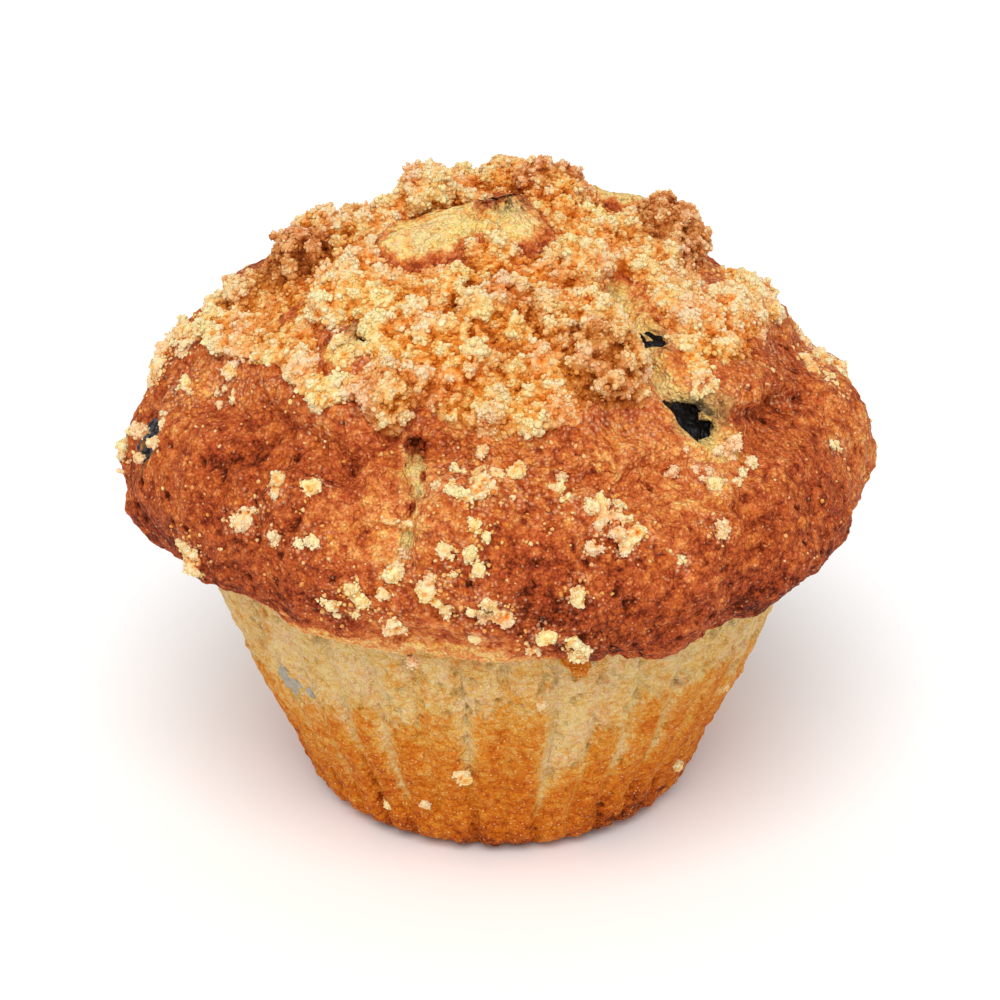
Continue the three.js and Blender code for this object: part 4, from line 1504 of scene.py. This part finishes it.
def make_dust(cap, berries, rows, random):
    """Single small grains: strewn over the cap, thickest near the heap, and about the fallen clusters."""
    azimuths = random.uniform(-180, 180, DUST_GRAINS)
    heights = 42 + 24 * np.sqrt(random.uniform(size=DUST_GRAINS))
    near = rim_point(azimuths, heights)
    near = near[noise(near, 4.0) > random.uniform(-0.5, 0.6, DUST_GRAINS)]
    around = [near]
    for azimuth, height, count, spread in rows:
        centre = rim_point(azimuth, height)
        around.append(scattered(centre, away_from_heart(centre), 3 * count, 2.2 * spread, random))
    middles = landed(cap, np.concatenate(around))
    for berry in berries:
        middles = middles[np.linalg.norm(middles - berry.middle, axis=1) > berry.radius + 1]
    count = len(middles)
    sizes = random.uniform(0.13, 0.3, count)
    middles = middles + away_from_heart(middles) * (sizes * random.uniform(0.0, 0.5, count))[:, None]
    tone = random.uniform(0.35, 0.85, count)
    return grain_piece("crumb_dust", middles, sizes, tone, np.full(count, 0.25), random)


# ------------------------------------------------------------------ floor and light


def add_floor():
    bpy.ops.object.select_all(action="DESELECT")
    bpy.ops.mesh.primitive_plane_add(size=6.0)
    floor = bpy.context.object
    floor.name = "floor"
    material, _, shader = new_material("white paper")
    shader.inputs["Base Color"].default_value = (1, 1, 1, 1)
    shader.inputs["Roughness"].default_value = 1.0
    shader.inputs["Specular IOR Level"].default_value = 0.0
    floor.data.materials.append(material)


def add_sun(name, direction, strength, softness):
    lamp = bpy.data.lights.new(name, "SUN")
    lamp.energy = strength
    lamp.angle = math.radians(softness)
    light = new_object(name, lamp)
    light.rotation_euler = Vector(direction).to_track_quat("Z", "Y").to_euler()


def add_lights():
    add_sun("key", (-0.05, -0.8, 1.1), 2.0, 40)
    world = bpy.data.worlds.new("studio")
    bpy.context.scene.world = world
    world.use_nodes = True
    world.node_tree.nodes["Background"].inputs["Color"].default_value = (1, 1, 1, 1)
    world.node_tree.nodes["Background"].inputs["Strength"].default_value = 0.64
    bpy.context.scene.view_settings.view_transform = "Standard"


# ------------------------------------------------------------------ putting it together


def finish_piece(piece, material, node):
    piece.data.materials.clear()
    piece.data.materials.append(material)
    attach(piece, "root")
    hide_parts(node)


def build():
    add_camera()
    add_floor()
    add_lights()
    random = np.random.default_rng(12)
    berries = [Berry(name) for name in BERRY_HOLES]
    rows = spill_rows(random)
    crumble = crumble_material("crumble")
    skin = berry_material()

    cap_crust = crust_material("cap crust", CAP_COLOURS, 0.52, 0.55, 0.64, 0.5, 0.22)
    cup_crumb = crust_material("cup crumb", CUP_COLOURS, 0.42, 0.35, 0.56, 0.3, 0.4)
    cap = make_cap(berries, rows)
    finish_piece(cap, cap_crust, "cake")
    finish_piece(make_cup(berries), cup_crumb, "cake")
    for piece in make_crumble(random):
        finish_piece(piece, crumble, "crumble")
    for piece in [*make_spill(cap, rows, berries, random), make_dust(cap, berries, rows, random)]:
        finish_piece(piece, crumble, "cake")
    for berry in berries:
        finish_piece(make_berry_skin(berry), skin, berry.name)


build()
